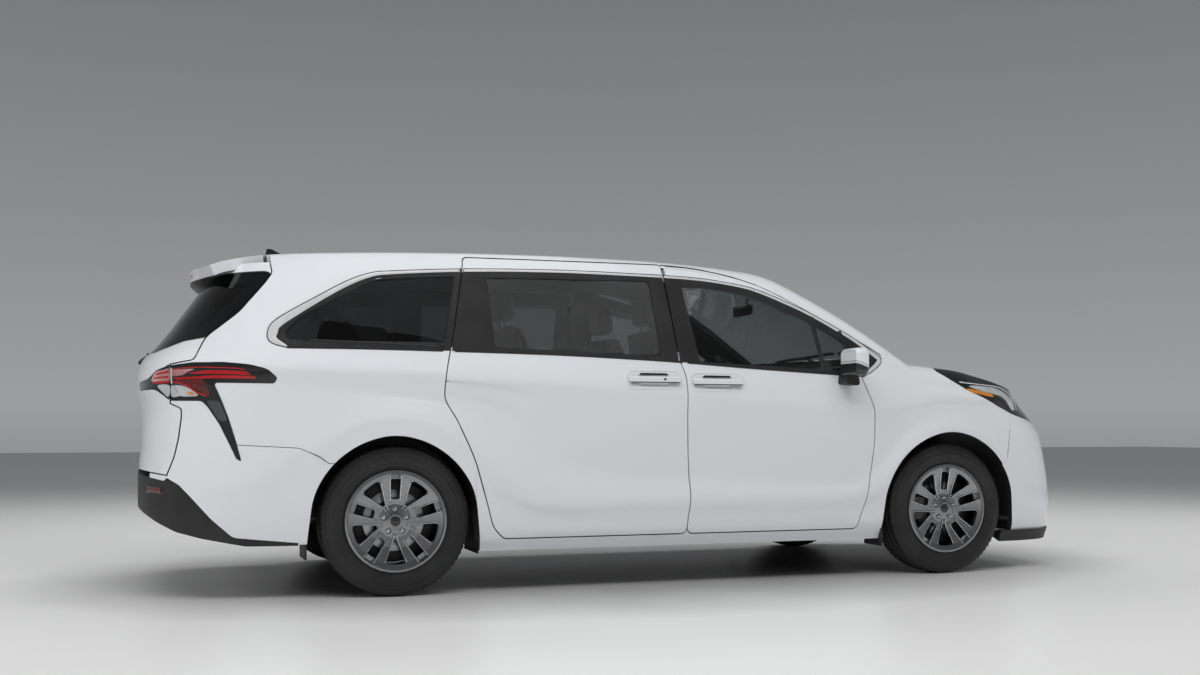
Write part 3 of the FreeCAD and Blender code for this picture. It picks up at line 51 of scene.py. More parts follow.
X_AXIS, Y_AXIS, Z_AXIS = Vector((1, 0, 0)), Vector((0, 1, 0)), Vector((0, 0, 1))
HANDS = (("right", -1), ("left", 1))


# Materials: each gets its colour, roughness and relief from procedural nodes.

def fill(node, values):
    """Sets a node's inputs; underscores stand for the spaces in socket names."""
    for key, value in values.items():
        node.inputs[key.replace("_", " ")].default_value = value


def shader(name, **values):
    """A new material with its principled shader set."""
    mat = bpy.data.materials.new(name)
    mat.use_nodes = True
    fill(mat.node_tree.nodes["Principled BSDF"], values)
    return mat


def new_node(tree, kind, **values):
    """A new shader node with its input values."""
    node = tree.nodes.new("ShaderNode" + kind)
    fill(node, values)
    return node


def on_place(tree, kind, space="Object", **values):
    """The outputs of a new node that reads a point's place in the frame, or another of its coordinates."""
    node = new_node(tree, kind, **values)
    tree.links.new(new_node(tree, "TexCoord").outputs[space], node.inputs["Vector"])
    return node.outputs


def noise(mat, scale, detail=3.0):
    """The factor of a noise texture in object coordinates."""
    return on_place(mat.node_tree, "TexNoise", Scale=scale, Detail=detail)["Fac"]


def feed(mat, output, name):
    """Links an output to one of the shader's inputs."""
    tree = mat.node_tree
    tree.links.new(output, tree.nodes["Principled BSDF"].inputs[name])


def fill_ramp(ramp, stops):
    """Sets a colour ramp from pairs of a place and a colour."""
    for k, (place, colour) in enumerate(stops):
        stop = ramp.color_ramp.elements[k] if k < 2 else ramp.color_ramp.elements.new(place)
        stop.position = place
        stop.color = (*colour, 1.0)


def bands(mat, factor, stops):
    """Colour by the stops of a ramp that follows the factor."""
    ramp = new_node(mat.node_tree, "ValToRGB")
    fill_ramp(ramp, stops)
    mat.node_tree.links.new(factor, ramp.inputs["Fac"])
    feed(mat, ramp.outputs["Color"], "Base Color")
    return ramp.color_ramp


def tint(mat, factor, low, high, start=0.35, end=0.65):
    """Colour that runs between two values with the factor."""
    bands(mat, factor, [(start, low), (end, high)])


def gloss(mat, factor, low, high):
    """Roughness that runs between two values with the factor."""
    span = new_node(mat.node_tree, "MapRange", To_Min=low, To_Max=high)
    mat.node_tree.links.new(factor, span.inputs["Value"])
    feed(mat, span.outputs["Result"], "Roughness")


def relief(mat, factor, distance):
    """Fine bumps of a given depth."""
    bump = new_node(mat.node_tree, "Bump", Distance=distance)
    mat.node_tree.links.new(factor, bump.inputs["Height"])
    feed(mat, bump.outputs["Normal"], "Normal")


def maths(operation, first, second=None):
    """The output of a math node whose inputs are sockets or numbers."""
    tree = (second if isinstance(first, float) else first).id_data
    node = new_node(tree, "Math")
    node.operation = operation
    for socket, value in zip(node.inputs, (first, second)):
        if isinstance(value, float):
            socket.default_value = value
        elif value is not None:
            tree.links.new(value, socket)
    return node.outputs[0]


def axes(tree, kind="Object"):
    """X, Y and Z of a point's place in the frame, or with the kind Normal of the way its face looks."""
    return on_place(tree, "SeparateXYZ", kind)


def spread(value, low, high):
    """0 where the value is low or less, 1 where it is high or more."""
    tree = value.id_data
    span = new_node(tree, "MapRange", From_Min=low, From_Max=high)
    tree.links.new(value, span.inputs["Value"])
    return span.outputs["Result"]


LIDS_ABOVE, TAILGATE_BEHIND = 1.0, -1.9


# Near black on these faces is in part the cabin's dark trim on the sides and tailgate, and in part painted
# shade on the roof lining and under the hood.
def inner_faces(tree):
    """1 on the faces that look into the cabin or under the hood, 0 outside."""
    at, facing = axes(tree), axes(tree, "Normal")
    outward = maths("MULTIPLY", maths("SIGN", at["Y"]), facing["Y"])
    sides = maths("LESS_THAN", outward, -0.25)
    lids = maths("LESS_THAN", facing["Z"], -0.45)
    lids = maths("MULTIPLY", lids, maths("GREATER_THAN", at["Z"], LIDS_ABOVE))
    tail = maths("GREATER_THAN", facing["X"], 0.3)
    tail = maths("MULTIPLY", tail, maths("LESS_THAN", at["X"], TAILGATE_BEHIND))
    return maths("MAXIMUM", maths("MAXIMUM", sides, lids), tail)


def between(value, low, high):
    """1 where the value lies between two limits."""
    return maths("MULTIPLY", maths("GREATER_THAN", value, low), maths("LESS_THAN", value, high))


WHEEL_ARCHES = ((-1.4165, 0.432), (1.6615, 0.448))  # middle and reach along the car, rear and front
ARCH_TOP = 0.8
SEAM_SPAN, SEAM_HEIGHTS = (-1.25, 0.16), (1.195, 1.575)


def arch_shade_and_pillar_faces(tree):
    """1 on the edges that face a wheel, where the near black is painted shade, and on the pillars in the
    seams between the side windows, where it is the near black of their trim.
    """
    at, facing = axes(tree), axes(tree, "Normal")
    # Painted shade: faces below the arch tops that turn towards a wheel are coloured near black.
    edge = maths("LESS_THAN", maths("ABSOLUTE", facing["Y"]), 0.35)
    edge = maths("MULTIPLY", edge, maths("LESS_THAN", at["Z"], ARCH_TOP))
    rear, front = (between(at["X"], middle - reach, middle + reach) for middle, reach in WHEEL_ARCHES)
    arch = maths("MULTIPLY", edge, maths("MAXIMUM", rear, front))
    seams = maths("MULTIPLY", between(at["X"], *SEAM_SPAN), between(at["Z"], *SEAM_HEIGHTS))
    return maths("MAXIMUM", arch, seams)


def make_paint(name, dark_inside):
    """White paint with fine pearl flakes; faces that turn towards a wheel are painted shade in near black. On
    panels dark inside, the inner faces are near black as well: dark trim inside the doors, pillars and
    tailgate, and painted shade on the roof lining and under the hood.
    """
    mat = shader(name, Coat_Weight=1.0, Coat_Roughness=0.03, Coat_IOR=1.5)
    tree = mat.node_tree
    tint(mat, noise(mat, 1400.0, 2.0), (0.735, 0.755, 0.785), (0.8, 0.82, 0.85))
    gloss(mat, noise(mat, 3.0), 0.3, 0.38)
    # Near black on faces that turn towards a wheel is painted shade; on the window pillars it is their black
    # trim.
    dark = arch_shade_and_pillar_faces(tree)
    if dark_inside:
        # Near black on inner faces: dark trim in the cabin, and painted shade on the roof lining and under
        # the hood.
        dark = maths("MAXIMUM", dark, inner_faces(tree))
    outer = tree.nodes["Principled BSDF"].inputs["Base Color"].links[0].from_socket
    mix = new_node(tree, "Mix")
    mix.data_type = "RGBA"
    mix.inputs["B"].default_value = (0.022, 0.022, 0.024, 1.0)
    tree.links.new(dark, mix.inputs["Factor"])
    tree.links.new(outer, mix.inputs[6])
    feed(mat, maths("SUBTRACT", 1.0, dark), "Coat Weight")
    feed(mat, mix.outputs[2], "Base Color")
    return mat


MIRROR_BANDS = [(0.0, (0.018, 0.018, 0.019)), (0.36, (0.62, 0.63, 0.64)), (0.44, (0.2, 0.2, 0.21)),
                (0.455, (0.77, 0.79, 0.82))]
MIRROR_SLOPE, MIRROR_MIDDLE, MIRROR_HEIGHTS = 0.35, 0.872 + MID, (1.08, 1.23)


def make_mirror_finish():
    """Painted cap, a pale lamp strip under it and black plastic below, by height."""
    mat = shader("mirror_finish", Coat_Weight=0.8, Coat_Roughness=0.03)
    at = axes(mat.node_tree)
    rise = maths("MULTIPLY", at["X"], MIRROR_SLOPE)
    level = maths("SUBTRACT", maths("ADD", at["Z"], rise), MIRROR_SLOPE * MIRROR_MIDDLE)
    grain = maths("MULTIPLY", noise(mat, 900.0), 0.0006)
    height = spread(maths("ADD", level, grain), *MIRROR_HEIGHTS)
    bands(mat, height, MIRROR_BANDS).interpolation = "CONSTANT"
    gloss(mat, noise(mat, 5.0), 0.28, 0.36)
    return mat


RIM_DEPTHS = (0.88, 0.925)  # distances from the middle of the car, deep in the rim and at its face


def make_alloy():
    """Silver-grey metal with painted shade: darker deep inside the wheel."""
    mat = shader("alloy_grey", Metallic=1.0)
    tree = mat.node_tree
    # Painted shade: the colour runs from near black deep in the rim to silver at its face.
    depth = spread(maths("ABSOLUTE", axes(tree)["Y"]), *RIM_DEPTHS)
    flecks = maths("MULTIPLY", noise(mat, 90.0), 0.05)
    tint(mat, maths("ADD", depth, flecks), (0.035, 0.035, 0.037), (0.33, 0.335, 0.345), 0.1, 0.95)
    gloss(mat, noise(mat, 45.0), 0.24, 0.32)
    round_edges = new_node(tree, "Bevel", Radius=0.003)
    round_edges.samples = 6
    feed(mat, round_edges.outputs["Normal"], "Normal")
    return mat


def make_dotted():
    """Red lamp cover with fine dark dots."""
    mat = shader("lamp_red_dotted", Coat_Weight=1.0, Coat_Roughness=0.02)
    cells = on_place(mat.node_tree, "TexVoronoi", Scale=230.0, Randomness=0.0)["Distance"]
    tint(mat, cells, (0.42, 0.012, 0.012), (0.035, 0.008, 0.009), 0.25, 0.45)
    gloss(mat, noise(mat, 40.0), 0.2, 0.3)
    return mat


def plastic(name, low, high, rough, grain=0.0, scale=900.0, coat=0.0):
    """A plastic, paint or cloth, with fine bumps where a grain is given."""
    mat = shader(name, Coat_Weight=coat, Coat_Roughness=0.04)
    tint(mat, noise(mat, 7.0), low, high)
    gloss(mat, noise(mat, 12.0), rough * 0.85, rough * 1.15)
    if grain:
        relief(mat, noise(mat, scale, 4.0), grain)
    return mat


def metal(name, low, high, rough, scale=40.0, shine=1.0):
    """A metal whose colour and roughness vary a little."""
    mat = shader(name, Metallic=shine)
    tint(mat, noise(mat, scale), low, high)
    gloss(mat, noise(mat, scale * 0.5), rough * 0.8, rough * 1.2)
    return mat


def glass(name, low, high):
    """Tinted glass."""
    mat = shader(name, Transmission_Weight=1.0, IOR=1.45)
    tint(mat, noise(mat, 1.5), low, high)
    gloss(mat, noise(mat, 2.0), 0.0, 0.01)
    return mat


PAINT = make_paint("pearl_white_trim_and_shade_inside", True)
PAINT_OUTER = make_paint("pearl_white_paint", False)
BLACK_GLOSS = plastic("black_gloss", (0.01, 0.01, 0.011), (0.014, 0.014, 0.015), 0.12, coat=0.6)
BLACK_SATIN = plastic("black_satin", (0.02, 0.02, 0.021), (0.027, 0.027, 0.028), 0.34, 0.00004)
BLACK_MATT = plastic("black_grained", (0.016, 0.016, 0.017), (0.024, 0.024, 0.025), 0.55, 0.0002, 700.0)
UNDERBODY = plastic("underbody_coat", (0.012, 0.012, 0.012), (0.022, 0.021, 0.02), 0.8, 0.0004, 260.0)
RUBBER = plastic("tyre_rubber", (0.016, 0.016, 0.0165), (0.024, 0.024, 0.024), 0.6, 0.00012, 500.0)
# Bright trim: part metal and part near-white diffuse colour, a painted reflection that keeps it bright under
# the lamps that gloss does not show.
CHROME_PAINTED_SHINE = metal("bright_trim_painted_reflection", (0.86, 0.87, 0.88), (0.93, 0.93, 0.94), 0.16, shine=0.45)
ALLOY = make_alloy()
MIRROR_FINISH = make_mirror_finish()
MIRROR_GLASS = metal("mirror_glass", (0.3, 0.31, 0.33), (0.36, 0.37, 0.39), 0.05, 3.0)
PLATE_BLANK = plastic("plate_blank", (0.6, 0.6, 0.6), (0.66, 0.66, 0.66), 0.4, 0.0001, 300.0, coat=0.3)
# Bright metal of the wheel nuts; on the spoke ridges it is a painted highlight.
NUT_METAL_AND_EDGE_HIGHLIGHT = metal("nut_metal_and_painted_spoke_highlight", (0.56, 0.565, 0.575), (0.68, 0.685, 0.695), 0.2, 50.0)
STEEL = metal("machined_steel", (0.34, 0.34, 0.35), (0.46, 0.46, 0.47), 0.3, 30.0)
IRON = metal("cast_iron", (0.1, 0.095, 0.09), (0.17, 0.16, 0.155), 0.55, 60.0)
TRIM_DARK = plastic("cabin_trim", (0.018, 0.018, 0.019), (0.028, 0.028, 0.029), 0.6, 0.0001, 800.0)
SEAT_CLOTH = plastic("seat_upholstery", (0.022, 0.022, 0.024), (0.036, 0.036, 0.038), 0.75, 0.0003, 420.0)
GLASS_CLEAR = glass("glass_clear", (0.52, 0.56, 0.55), (0.56, 0.6, 0.59))
GLASS_FRONT = glass("glass_light_tint", (0.4, 0.42, 0.42), (0.44, 0.46, 0.46))
GLASS_SIDE = glass("glass_mid_tint", (0.25, 0.255, 0.26), (0.29, 0.295, 0.3))
GLASS_DARK = glass("glass_privacy", (0.085, 0.088, 0.092), (0.105, 0.108, 0.112))
LAMP_RED = plastic("lamp_red", (0.36, 0.004, 0.006), (0.46, 0.007, 0.009), 0.2, coat=0.8)
LAMP_ROSE = plastic("lamp_rose", (0.3, 0.1, 0.1), (0.58, 0.34, 0.34), 0.2, coat=0.8)
LAMP_DOTTED = make_dotted()
LAMP_PALE = plastic("lamp_pale", (0.42, 0.43, 0.44), (0.62, 0.63, 0.64), 0.16, 0.0004, 160.0, coat=1.0)
LAMP_AMBER = plastic("lamp_amber", (0.62, 0.2, 0.02), (0.72, 0.27, 0.03), 0.2, coat=1.0)
LAMP_GREY = plastic("lamp_dark_grey", (0.055, 0.056, 0.058), (0.075, 0.076, 0.078), 0.25, coat=0.5)


def both(*stems):
    """The names of pieces that come as right and left."""
    return [f"{stem}_{hand}" for stem in stems for hand, _ in HANDS]


FINISH = {
    PAINT: both("front_door", "sliding_door") + ["side_frames", "rear_quarters", "tailgate", "hood",
                                                 "roof_panel"],
    PAINT_OUTER: ["front_fenders", "front_bumper", "rear_bumper"],
    MIRROR_FINISH: both("mirror"),
    BLACK_MATT: both("mirror_foot") + ["cowl", "front_lip", "rear_valance", "wheel_liners", "front_grille",
                                       "mudflaps"],
    BLACK_GLOSS: ["headlamps", "tail_lamps", "tailgate_lamps", "antenna"],
    UNDERBODY: ["floor_pan", "front_subframe", "rear_axle", "engine_block"],
    IRON: both("knuckle"),
    STEEL: ["exhaust"],
    RUBBER: both("tyre_front", "tyre_rear"),
    ALLOY: both("rim_front", "rim_rear"),
    GLASS_CLEAR: ["windscreen"],
    GLASS_FRONT: both("front_glass"),
    GLASS_SIDE: ["sliding_door_glass"],
    GLASS_DARK: ["quarter_glass", "tailgate_glass"],
    TRIM_DARK: ["dashboard", "steering_wheel"],
    SEAT_CLOTH: ["front_seats", "middle_seats", "rear_bench"],
}
for finish, names in FINISH.items():
    for name in names:
        NODES[name].data.materials.clear()
        NODES[name].data.materials.append(finish)


# Stage, light and camera.

def make_floor():
    """Pale floor with a painted shadow: a little darker close to the car."""
    mat = shader("pale_floor")
    tree = mat.node_tree
    gloss(mat, noise(mat, 12.0), 0.2975, 0.4025)
    # Painted shadow: the colour darkens towards the car, with random stains on top.
    painted_shadow_terms = []
    for axis, reach in (("X", 3.6), ("Y", 2.2)):
        part = maths("MULTIPLY", axes(tree)[axis], 1.0 / reach)
        painted_shadow_terms.append(maths("MULTIPLY", part, part))
    stains = maths("MULTIPLY", noise(mat, 1.3), 0.3)
    tint(mat, maths("ADD", maths("ADD", *painted_shadow_terms), stains), (0.44, 0.44, 0.435), (0.88, 0.88, 0.87),
         0.35, 1.0)
    return mat


def show(name, data):
    """A new object in the scene."""
    thing = bpy.data.objects.new(name, data)
    SCENE.collection.objects.link(thing)
    return thing


def make_stage():
    """A wide floor under the car."""
    floor = bpy.data.meshes.new("floor")
    floor.from_pydata([(-40, -40, 0), (40, -40, 0), (40, 40, 0), (-40, 40, 0)], [], [(0, 1, 2, 3)])
    floor.materials.append(make_floor())
    show("floor", floor)


def area_light(name, place, aim, size, power, reflected=True):
    """A soft box; those not reflected give light without being seen in glass and gloss."""
    lamp = bpy.data.lights.new(name, "AREA")
    lamp.shape = "RECTANGLE"
    lamp.size, lamp.size_y = size
    lamp.energy = power
    thing = show(name, lamp)
    thing.location = place
    thing.rotation_euler = (Vector(aim) - Vector(place)).to_track_quat("-Z", "Y").to_euler()
    thing.visible_glossy = reflected


# Each band is a height, from 0 straight down to 1 straight up, and a level of grey.
SKY_BANDS = [(0.0, 0.14), (0.46, 0.2), (0.51, 0.34), (0.58, 0.26), (0.72, 0.13), (1.0, 0.16)]
SOFT_BOXES = {  # place, aim, size and power
    "side_soft": ((-1.2, -5.2, 6.2), (-0.2, -0.9, 0.7), (9.0, 2.6), 335.0),
    "far_side": ((0.3, 5.6, 6.0), (0.0, 0.9, 0.7), (9.0, 2.6), 250.0),
    "rear_soft": ((-8.0, -2.0, 4.2), (-2.0, 0.0, 0.8), (3.5, 2.2), 130.0),
    "front_soft": ((8.5, -1.0, 4.4), (1.5, 0.0, 0.8), (3.5, 2.2), 170.0),
}


def make_light():
    """A grey sky in bands, a wide box above and four soft boxes round the car."""
    world = bpy.data.worlds.new("studio")
    world.use_nodes = True
    tree = world.node_tree
    ramp = new_node(tree, "ValToRGB")
    fill_ramp(ramp, [(at, (level * 0.985, level, level * 1.03)) for at, level in SKY_BANDS])
    height = maths("MULTIPLY", axes(tree, "Generated")["Z"], 0.5)
    tree.links.new(maths("ADD", height, 0.5), ramp.inputs["Fac"])
    tree.links.new(ramp.outputs["Color"], tree.nodes["Background"].inputs["Color"])
    SCENE.world = world
    area_light("key_above", (-0.3, 0.0, 5.6), (0.0, 0.0, 0.6), (8.5, 3.2), 35.0)
    for name, values in SOFT_BOXES.items():
        area_light(name, *values, reflected=False)
    SCENE.view_settings.view_transform = "Standard"


def make_camera():
    """The camera that was fitted to the photo."""
    data = bpy.data.cameras.new("photo_camera")
    data.sensor_width = 36.0
    data.lens = 38.7
    data.shift_y = 0.07625
    data.clip_end = 200.0
    thing = show("photo_camera", data)
    thing.location = (-2.5255, -7.068, 0.799)
    thing.rotation_euler = (math.radians(90), 0, math.radians(-19.3))
    SCENE.camera = thing


# Shapes on the car's side: points are (x, z) in metres in the frame, and the skin gives the depth.

def spots(points):
    """Points of the side view, from millimetres before or behind the middle of the wheelbase."""
    return [(x / 1000 + MID, z / 1000) for x, z in points]


def from_middle(p):
    """How many millimetres a point in the frame lies ahead of the middle of the wheelbase."""
    return (p[0] - MID) * 1000


def steps(a, b, count):
    """Evenly spaced values from a to b, with both ends."""
    return [a + (b - a) * k / count for k in range(count + 1)]


def fine_line(points, step):
    """A closed line with points added so that none lie further apart than the step."""
    out = []
    for a, b in zip(points, points[1:] + points[:1]):
        a, b = Vector(a), Vector(b)
        parts = max(1, math.ceil((b - a).length / step))
        out += [tuple(a.lerp(b, k / parts)) for k in range(parts)]
    return out


def rounded(points, step=20):
    """A closed outline in metres through points (x, z) or (x, z, corner radius), all in millimetres."""
    out = []
    count = len(points)
    for i, point in enumerate(points):
        here = Vector(point[:2])
        if len(point) < 3:
            out.append(here)
            continue
        ahead = Vector(points[(i + 1) % count][:2]) - here
        back = Vector(points[i - 1][:2]) - here
        half = 0.5 * ahead.angle(back)
        run = min(point[2] / math.tan(half), 0.48 * ahead.length, 0.48 * back.length)
        a, b = here + back.normalized() * run, here + ahead.normalized() * run
        for k in range(7):
            t = k / 6
            out.append(a * (1 - t) ** 2 + here * 2 * t * (1 - t) + b * t * t)
    return spots(fine_line(out, step))


def curve(points, step=0.012, closed=False):
    """A smooth line through points in metres, sampled evenly."""
    pts = [Vector(p) for p in points]
    if closed:
        ring = [pts[-1]] + pts + pts[:2]
    else:
        ring = [pts[0] * 2 - pts[1]] + pts + [pts[-1] * 2 - pts[-2]]
    out = []
    for a, b, c, d in zip(ring, ring[1:], ring[2:], ring[3:]):
        parts = max(1, math.ceil((c - b).length / step))
        for k in range(parts):
            t = k / parts
            out.append(0.5 * (2 * b + (c - a) * t + (2 * a - 5 * b + 4 * c - d) * t * t
                              + (3 * b - a - 3 * c + d) * t ** 3))
    if not closed:
        out.append(pts[-1])
    return [tuple(p) for p in out]


def gather(meshes):
    """The points and the faces of several meshes."""
    points, faces = [], []
    for mesh in meshes:
        base = len(points)
        points += [v.co.copy() for v in mesh.vertices]
        faces += [[base + i for i in p.vertices] for p in mesh.polygons]
    return points, faces


OUTER_PIECES = ["side_frames", "rear_quarters", "front_fenders"]
OUTER_PIECES += both("front_door", "sliding_door", "front_glass")
OUTER_PIECES += [
    "sliding_door_glass", "quarter_glass", "rear_bumper", "front_bumper", "tail_lamps", "headlamps",
    "rear_valance", "tailgate", "tailgate_lamps", "hood", "tailgate_glass", "windscreen", "front_lip", "cowl",
    "roof_panel"]
SKIN = BVHTree.FromPolygons(*gather(NODES[name].data for name in OUTER_PIECES))


def skin_fit(start, ray, right, up, reach):
    """Point and outward normal where a ray meets the skin, from a plane through what nine rays meet."""
    bend, step = 0.0012, 0.006
    rows = []
    for a in (-reach, 0.0, reach):
        for b in (-reach, 0.0, reach):
            depth = SKIN.ray_cast(start + right * a + up * b, ray)[3]
            if depth is not None:
                rows.append((1.0, a, b, depth))
    table = np.array(rows)
    direct = SKIN.ray_cast(start, ray)[3]
    while True:
        fit = np.linalg.lstsq(table[:, :3], table[:, 3], rcond=None)[0]
        miss = table[:, 3] - table[:, :3] @ fit
        if np.abs(miss).max() < bend or len(table) <= 4:
            break
        table = np.delete(table, int(np.argmax(table[:, 3])), axis=0)
    near = direct is not None and abs(direct - fit[0]) < step
    point = start + ray * (direct if near else fit[0])
    return point, (right * fit[1] + up * fit[2] - ray).normalized()


def on_side(side, reach=0.02):
    """Places (x, z) of the side view on the car's skin."""
    return lambda x, z: skin_fit(Vector((x, side * 1.4, z)), -side * Y_AXIS, X_AXIS, Z_AXIS, reach)


def on_corner(end, side):
    """Places (angle from the centre line, z) on the skin round the tail (end -1) or the nose (end 1)."""
    pivot = (1.65 if end > 0 else -1.75) + MID

    def place(angle, z):
        out = Vector((end * math.cos(angle), side * math.sin(angle), 0))
        return skin_fit(Vector((pivot, 0, z)) + out * 2.0, -out, Vector((-out.y, out.x, 0)), Z_AXIS, 0.006)

    return place


def on_top(x, y):
    """A place of the plan view on the skin."""
    return skin_fit(Vector((x, y, 2.2)), -Z_AXIS, X_AXIS, Y_AXIS, 0.01)


def on_back(y, z):
    """A place of the view from behind on the skin."""
    return skin_fit(Vector((-3.2, y, z)), X_AXIS, Y_AXIS, Z_AXIS, 0.01)


def turns(points):
    """Corner outlines are kept in degrees and millimetres."""
    return [(math.radians(a), z / 1000) for a, z in points]


def mesh_of(name, points, faces):
    """A mesh with no double points, its faces turned outwards."""
    mesh = bpy.data.meshes.new(name)
    mesh.from_pydata(points, [], faces)
    work = bmesh.new()
    work.from_mesh(mesh)
    bmesh.ops.remove_doubles(work, verts=work.verts, dist=1e-6)
    bmesh.ops.recalc_face_normals(work, faces=work.faces)
    work.to_mesh(mesh)
    work.free()
    return mesh


def quads(rows, size, joined=False, around=True):
    """Faces between rows of points. Joined rows form a ring, others get end faces; around closes each row."""
    faces = []
    for i in range(rows if joined else rows - 1):
        j = (i + 1) % rows
        for k in range(size if around else size - 1):
            m = (k + 1) % size
            faces.append([i * size + k, i * size + m, j * size + m, j * size + k])
    if not joined:
        faces += [list(range(size)), list(reversed(range((rows - 1) * size, rows * size)))]
    return faces


def add(name, mesh, mat, body="body", smooth=True):
    """A new piece from a mesh, with its material and the body it moves with."""
    mesh.materials.append(mat)
    if smooth:
        mesh.shade_smooth()
    thing = show(name, mesh)
    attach(thing, body)
    return thing


def add_rows(name, points, rows, mat, body="body", closed=False, smooth=True):
    """A new piece whose surface runs through rows of points."""
    faces = quads(rows, len(points) // rows, closed)
    return add(name, mesh_of(name, points, faces), mat, body, smooth)


def inside(point, loop):
    """Whether a point lies in a closed outline."""
    x, z = point
    odd = False
    for (x0, z0), (x1, z1) in zip(loop, loop[1:] + loop[:1]):
        if (z0 > z) != (z1 > z) and x < x0 + (z - z0) * (x1 - x0) / (z1 - z0):
            odd = not odd
    return odd


SINK = 0.0005  # how far the back of a panel lies under the skin


def sheet_on(name, outer, holes, place, mat, body="body", lift=0.0005, thick=0.0013, cell=0.03):
    """A thin panel that lies on the skin, cut to an outline with holes."""
    def held(p):
        """Whether a place belongs to the panel."""
        return inside(p, outer) and not any(inside(p, hole) for hole in holes)

    verts, edges = [], []
    for loop in [outer] + holes:
        base = len(verts)
        verts += [Vector(p) for p in loop]
        edges += [(base + i, base + (i + 1) % len(loop)) for i in range(len(loop))]
    rim = np.array([tuple(v) for v in verts])
    xs, zs = rim[:, 0], rim[:, 1]
    for gx in np.arange(xs.min() + cell / 2, xs.max(), cell):
        for gz in np.arange(zs.min() + cell / 2, zs.max(), cell):
            p = (float(gx), float(gz))
            if held(p) and np.hypot(rim[:, 0] - gx, rim[:, 1] - gz).min() > cell * 0.4:
                verts.append(Vector(p))
    flat, _, faces, *_ = delaunay_2d_cdt(verts, edges, [], 0, 1e-6)
    middles = [sum((flat[i] for i in face), Vector((0, 0))) / len(face) for face in faces]
    keep = [list(face) for face, middle in zip(faces, middles) if held(middle)]
    used = sorted({i for face in keep for i in face})
    index = {v: k for k, v in enumerate(used)}
    top, base = [], []
    for i in used:
        p, n = place(flat[i].x, flat[i].y)
        top.append(p + n * (lift + thick))
        base.append(p - n * SINK)
    size = len(top)
    faces = [[index[i] for i in face] for face in keep]
    sides = dict.fromkeys((a, b) for face in faces for a, b in zip(face, face[1:] + face[:1]))
    rim_faces = [[b, a, a + size, b + size] for a, b in sides if (b, a) not in sides]
    faces = faces + [[i + size for i in reversed(face)] for face in faces] + rim_faces
    mesh = mesh_of(name, top + base, faces)
    add(name, mesh, mat, body)
    mesh.set_sharp_from_angle(angle=math.radians(40))


STRIP_EDGE = [(-0.5, -0.3), (-0.5, 0.35), (-0.4, 0.75), (-0.2, 0.96)]
STRIP_SECTION = STRIP_EDGE + [(0.0, 1.0)] + [(-u, v) for u, v in reversed(STRIP_EDGE)]


def strip_on(name, path, width, height, place, mat, body="body", lift=0.001, closed=False):
    """A bar with a rounded section that follows a line on the skin; width may change along it."""
    count = len(path)
    widths = width if isinstance(width, list) else [width] * count
    rows = [place(u, v) for u, v in path]
    points = []
    for i, (p, n) in enumerate(rows):
        a = rows[(i - 1) % count if closed else max(i - 1, 0)][0]
        b = rows[(i + 1) % count if closed else min(i + 1, count - 1)][0]
        across = n.cross((b - a).normalized()).normalized()
        points += [p + n * lift + across * (u * widths[i]) + n * (v * height) for u, v in STRIP_SECTION]
    add_rows(name, points, count, mat, body, closed)


# Window trim.

TRIM_LINE = [
    (-2035, 1182), (-2094, 1214), (-2095, 1250), (-2062, 1299), (-1884, 1413), (-1738, 1497), (-1624, 1543),
    (-1529, 1557), (-1336, 1573), (-1176, 1583), (-939, 1593), (-664, 1599), (-463, 1599), (-107, 1595),
    (114, 1586), (310, 1563), (440, 1533), (633, 1459), (762, 1399), (956, 1293), (1085, 1204), (1117, 1170),
    (1057, 1119), (1014, 1094)]
TRIM_WIDTH = [8, 34, 46, 40, 27, 24, 20, 17, 15, 15, 14, 14, 14, 14, 14, 14, 14, 14, 15, 17, 20, 24, 18, 8]
PANEL_MARGIN, SEAM_GAP = 4.0, 4
BAND_HEIGHT, SEAL_HEIGHT, SEAL_MARGIN = 0.0035, 0.0014, 0.009
B_LINE = [(-37, 1075), (-68, 1150), (-84, 1350), (-102, 1587), (-104, 1640)]
C_LINE = [(-1289, 1068), (-1261, 1181), (-1210, 1420), (-1172, 1595), (-1160, 1650)]
BELT_LINE = [(1014, 1086), (778, 1096), (350, 1118), (-78, 1144), (-440, 1160), (-814, 1171), (-1270, 1177),
             (-1650, 1180), (-2035, 1179)]
WINDOWS = {
    "front": [(-9, 1557, 18), (107, 1553, 900), (380, 1510, 500), (517, 1462, 500), (727, 1362), (936, 1250),
              (1070, 1181, 14), (981, 1114, 25), (748, 1118), (46, 1145, 20)],
    "sliding": [(-1054, 1551, 22), (-184, 1567, 22), (-168, 1172, 22), (-1040, 1199, 22)],
    "quarter": [(-1216, 1553, 16), (-1616, 1519, 300), (-1964, 1330, 300), (-2048, 1250, 30),
                (-2026, 1213, 25), (-1291, 1217, 16)],
}


def x_on(line, z):
    """Where a seam that runs upwards crosses the height z."""
    across, heights = zip(*line)
    return float(np.interp(z, heights, across))


def trim_outline(extra):
    """The outer edge of the bright band and the belt below the windows, one outline in millimetres."""
    pts = [Vector(p) for p in TRIM_LINE]
    edge = []
    for i, p in enumerate(pts):
        along = (pts[min(i + 1, len(pts) - 1)] - pts[max(i - 1, 0)]).normalized()
        edge.append(p + Vector((-along.y, along.x)) * (TRIM_WIDTH[i] / 2 + extra))
    return [tuple(p) for p in edge] + BELT_LINE


def cut_loop(loop, seam, sign):
    """The part of a closed outline ahead of a seam (sign 1) or behind it (sign -1), in millimetres."""
    out = []
    for a, b in zip(loop, loop[1:] + loop[:1]):
        a, b = Vector(a), Vector(b)
        parts = max(1, int((b - a).length / 6))
        for k in range(parts):
            p = a.lerp(b, k / parts)
            limit = x_on(seam, p.y) + sign * SEAM_GAP
            here = (p.x if (p.x - limit) * sign >= 0 else limit, p.y)
            if not out or math.dist(here, out[-1]) > 1.5:
                out.append(here)
    return out


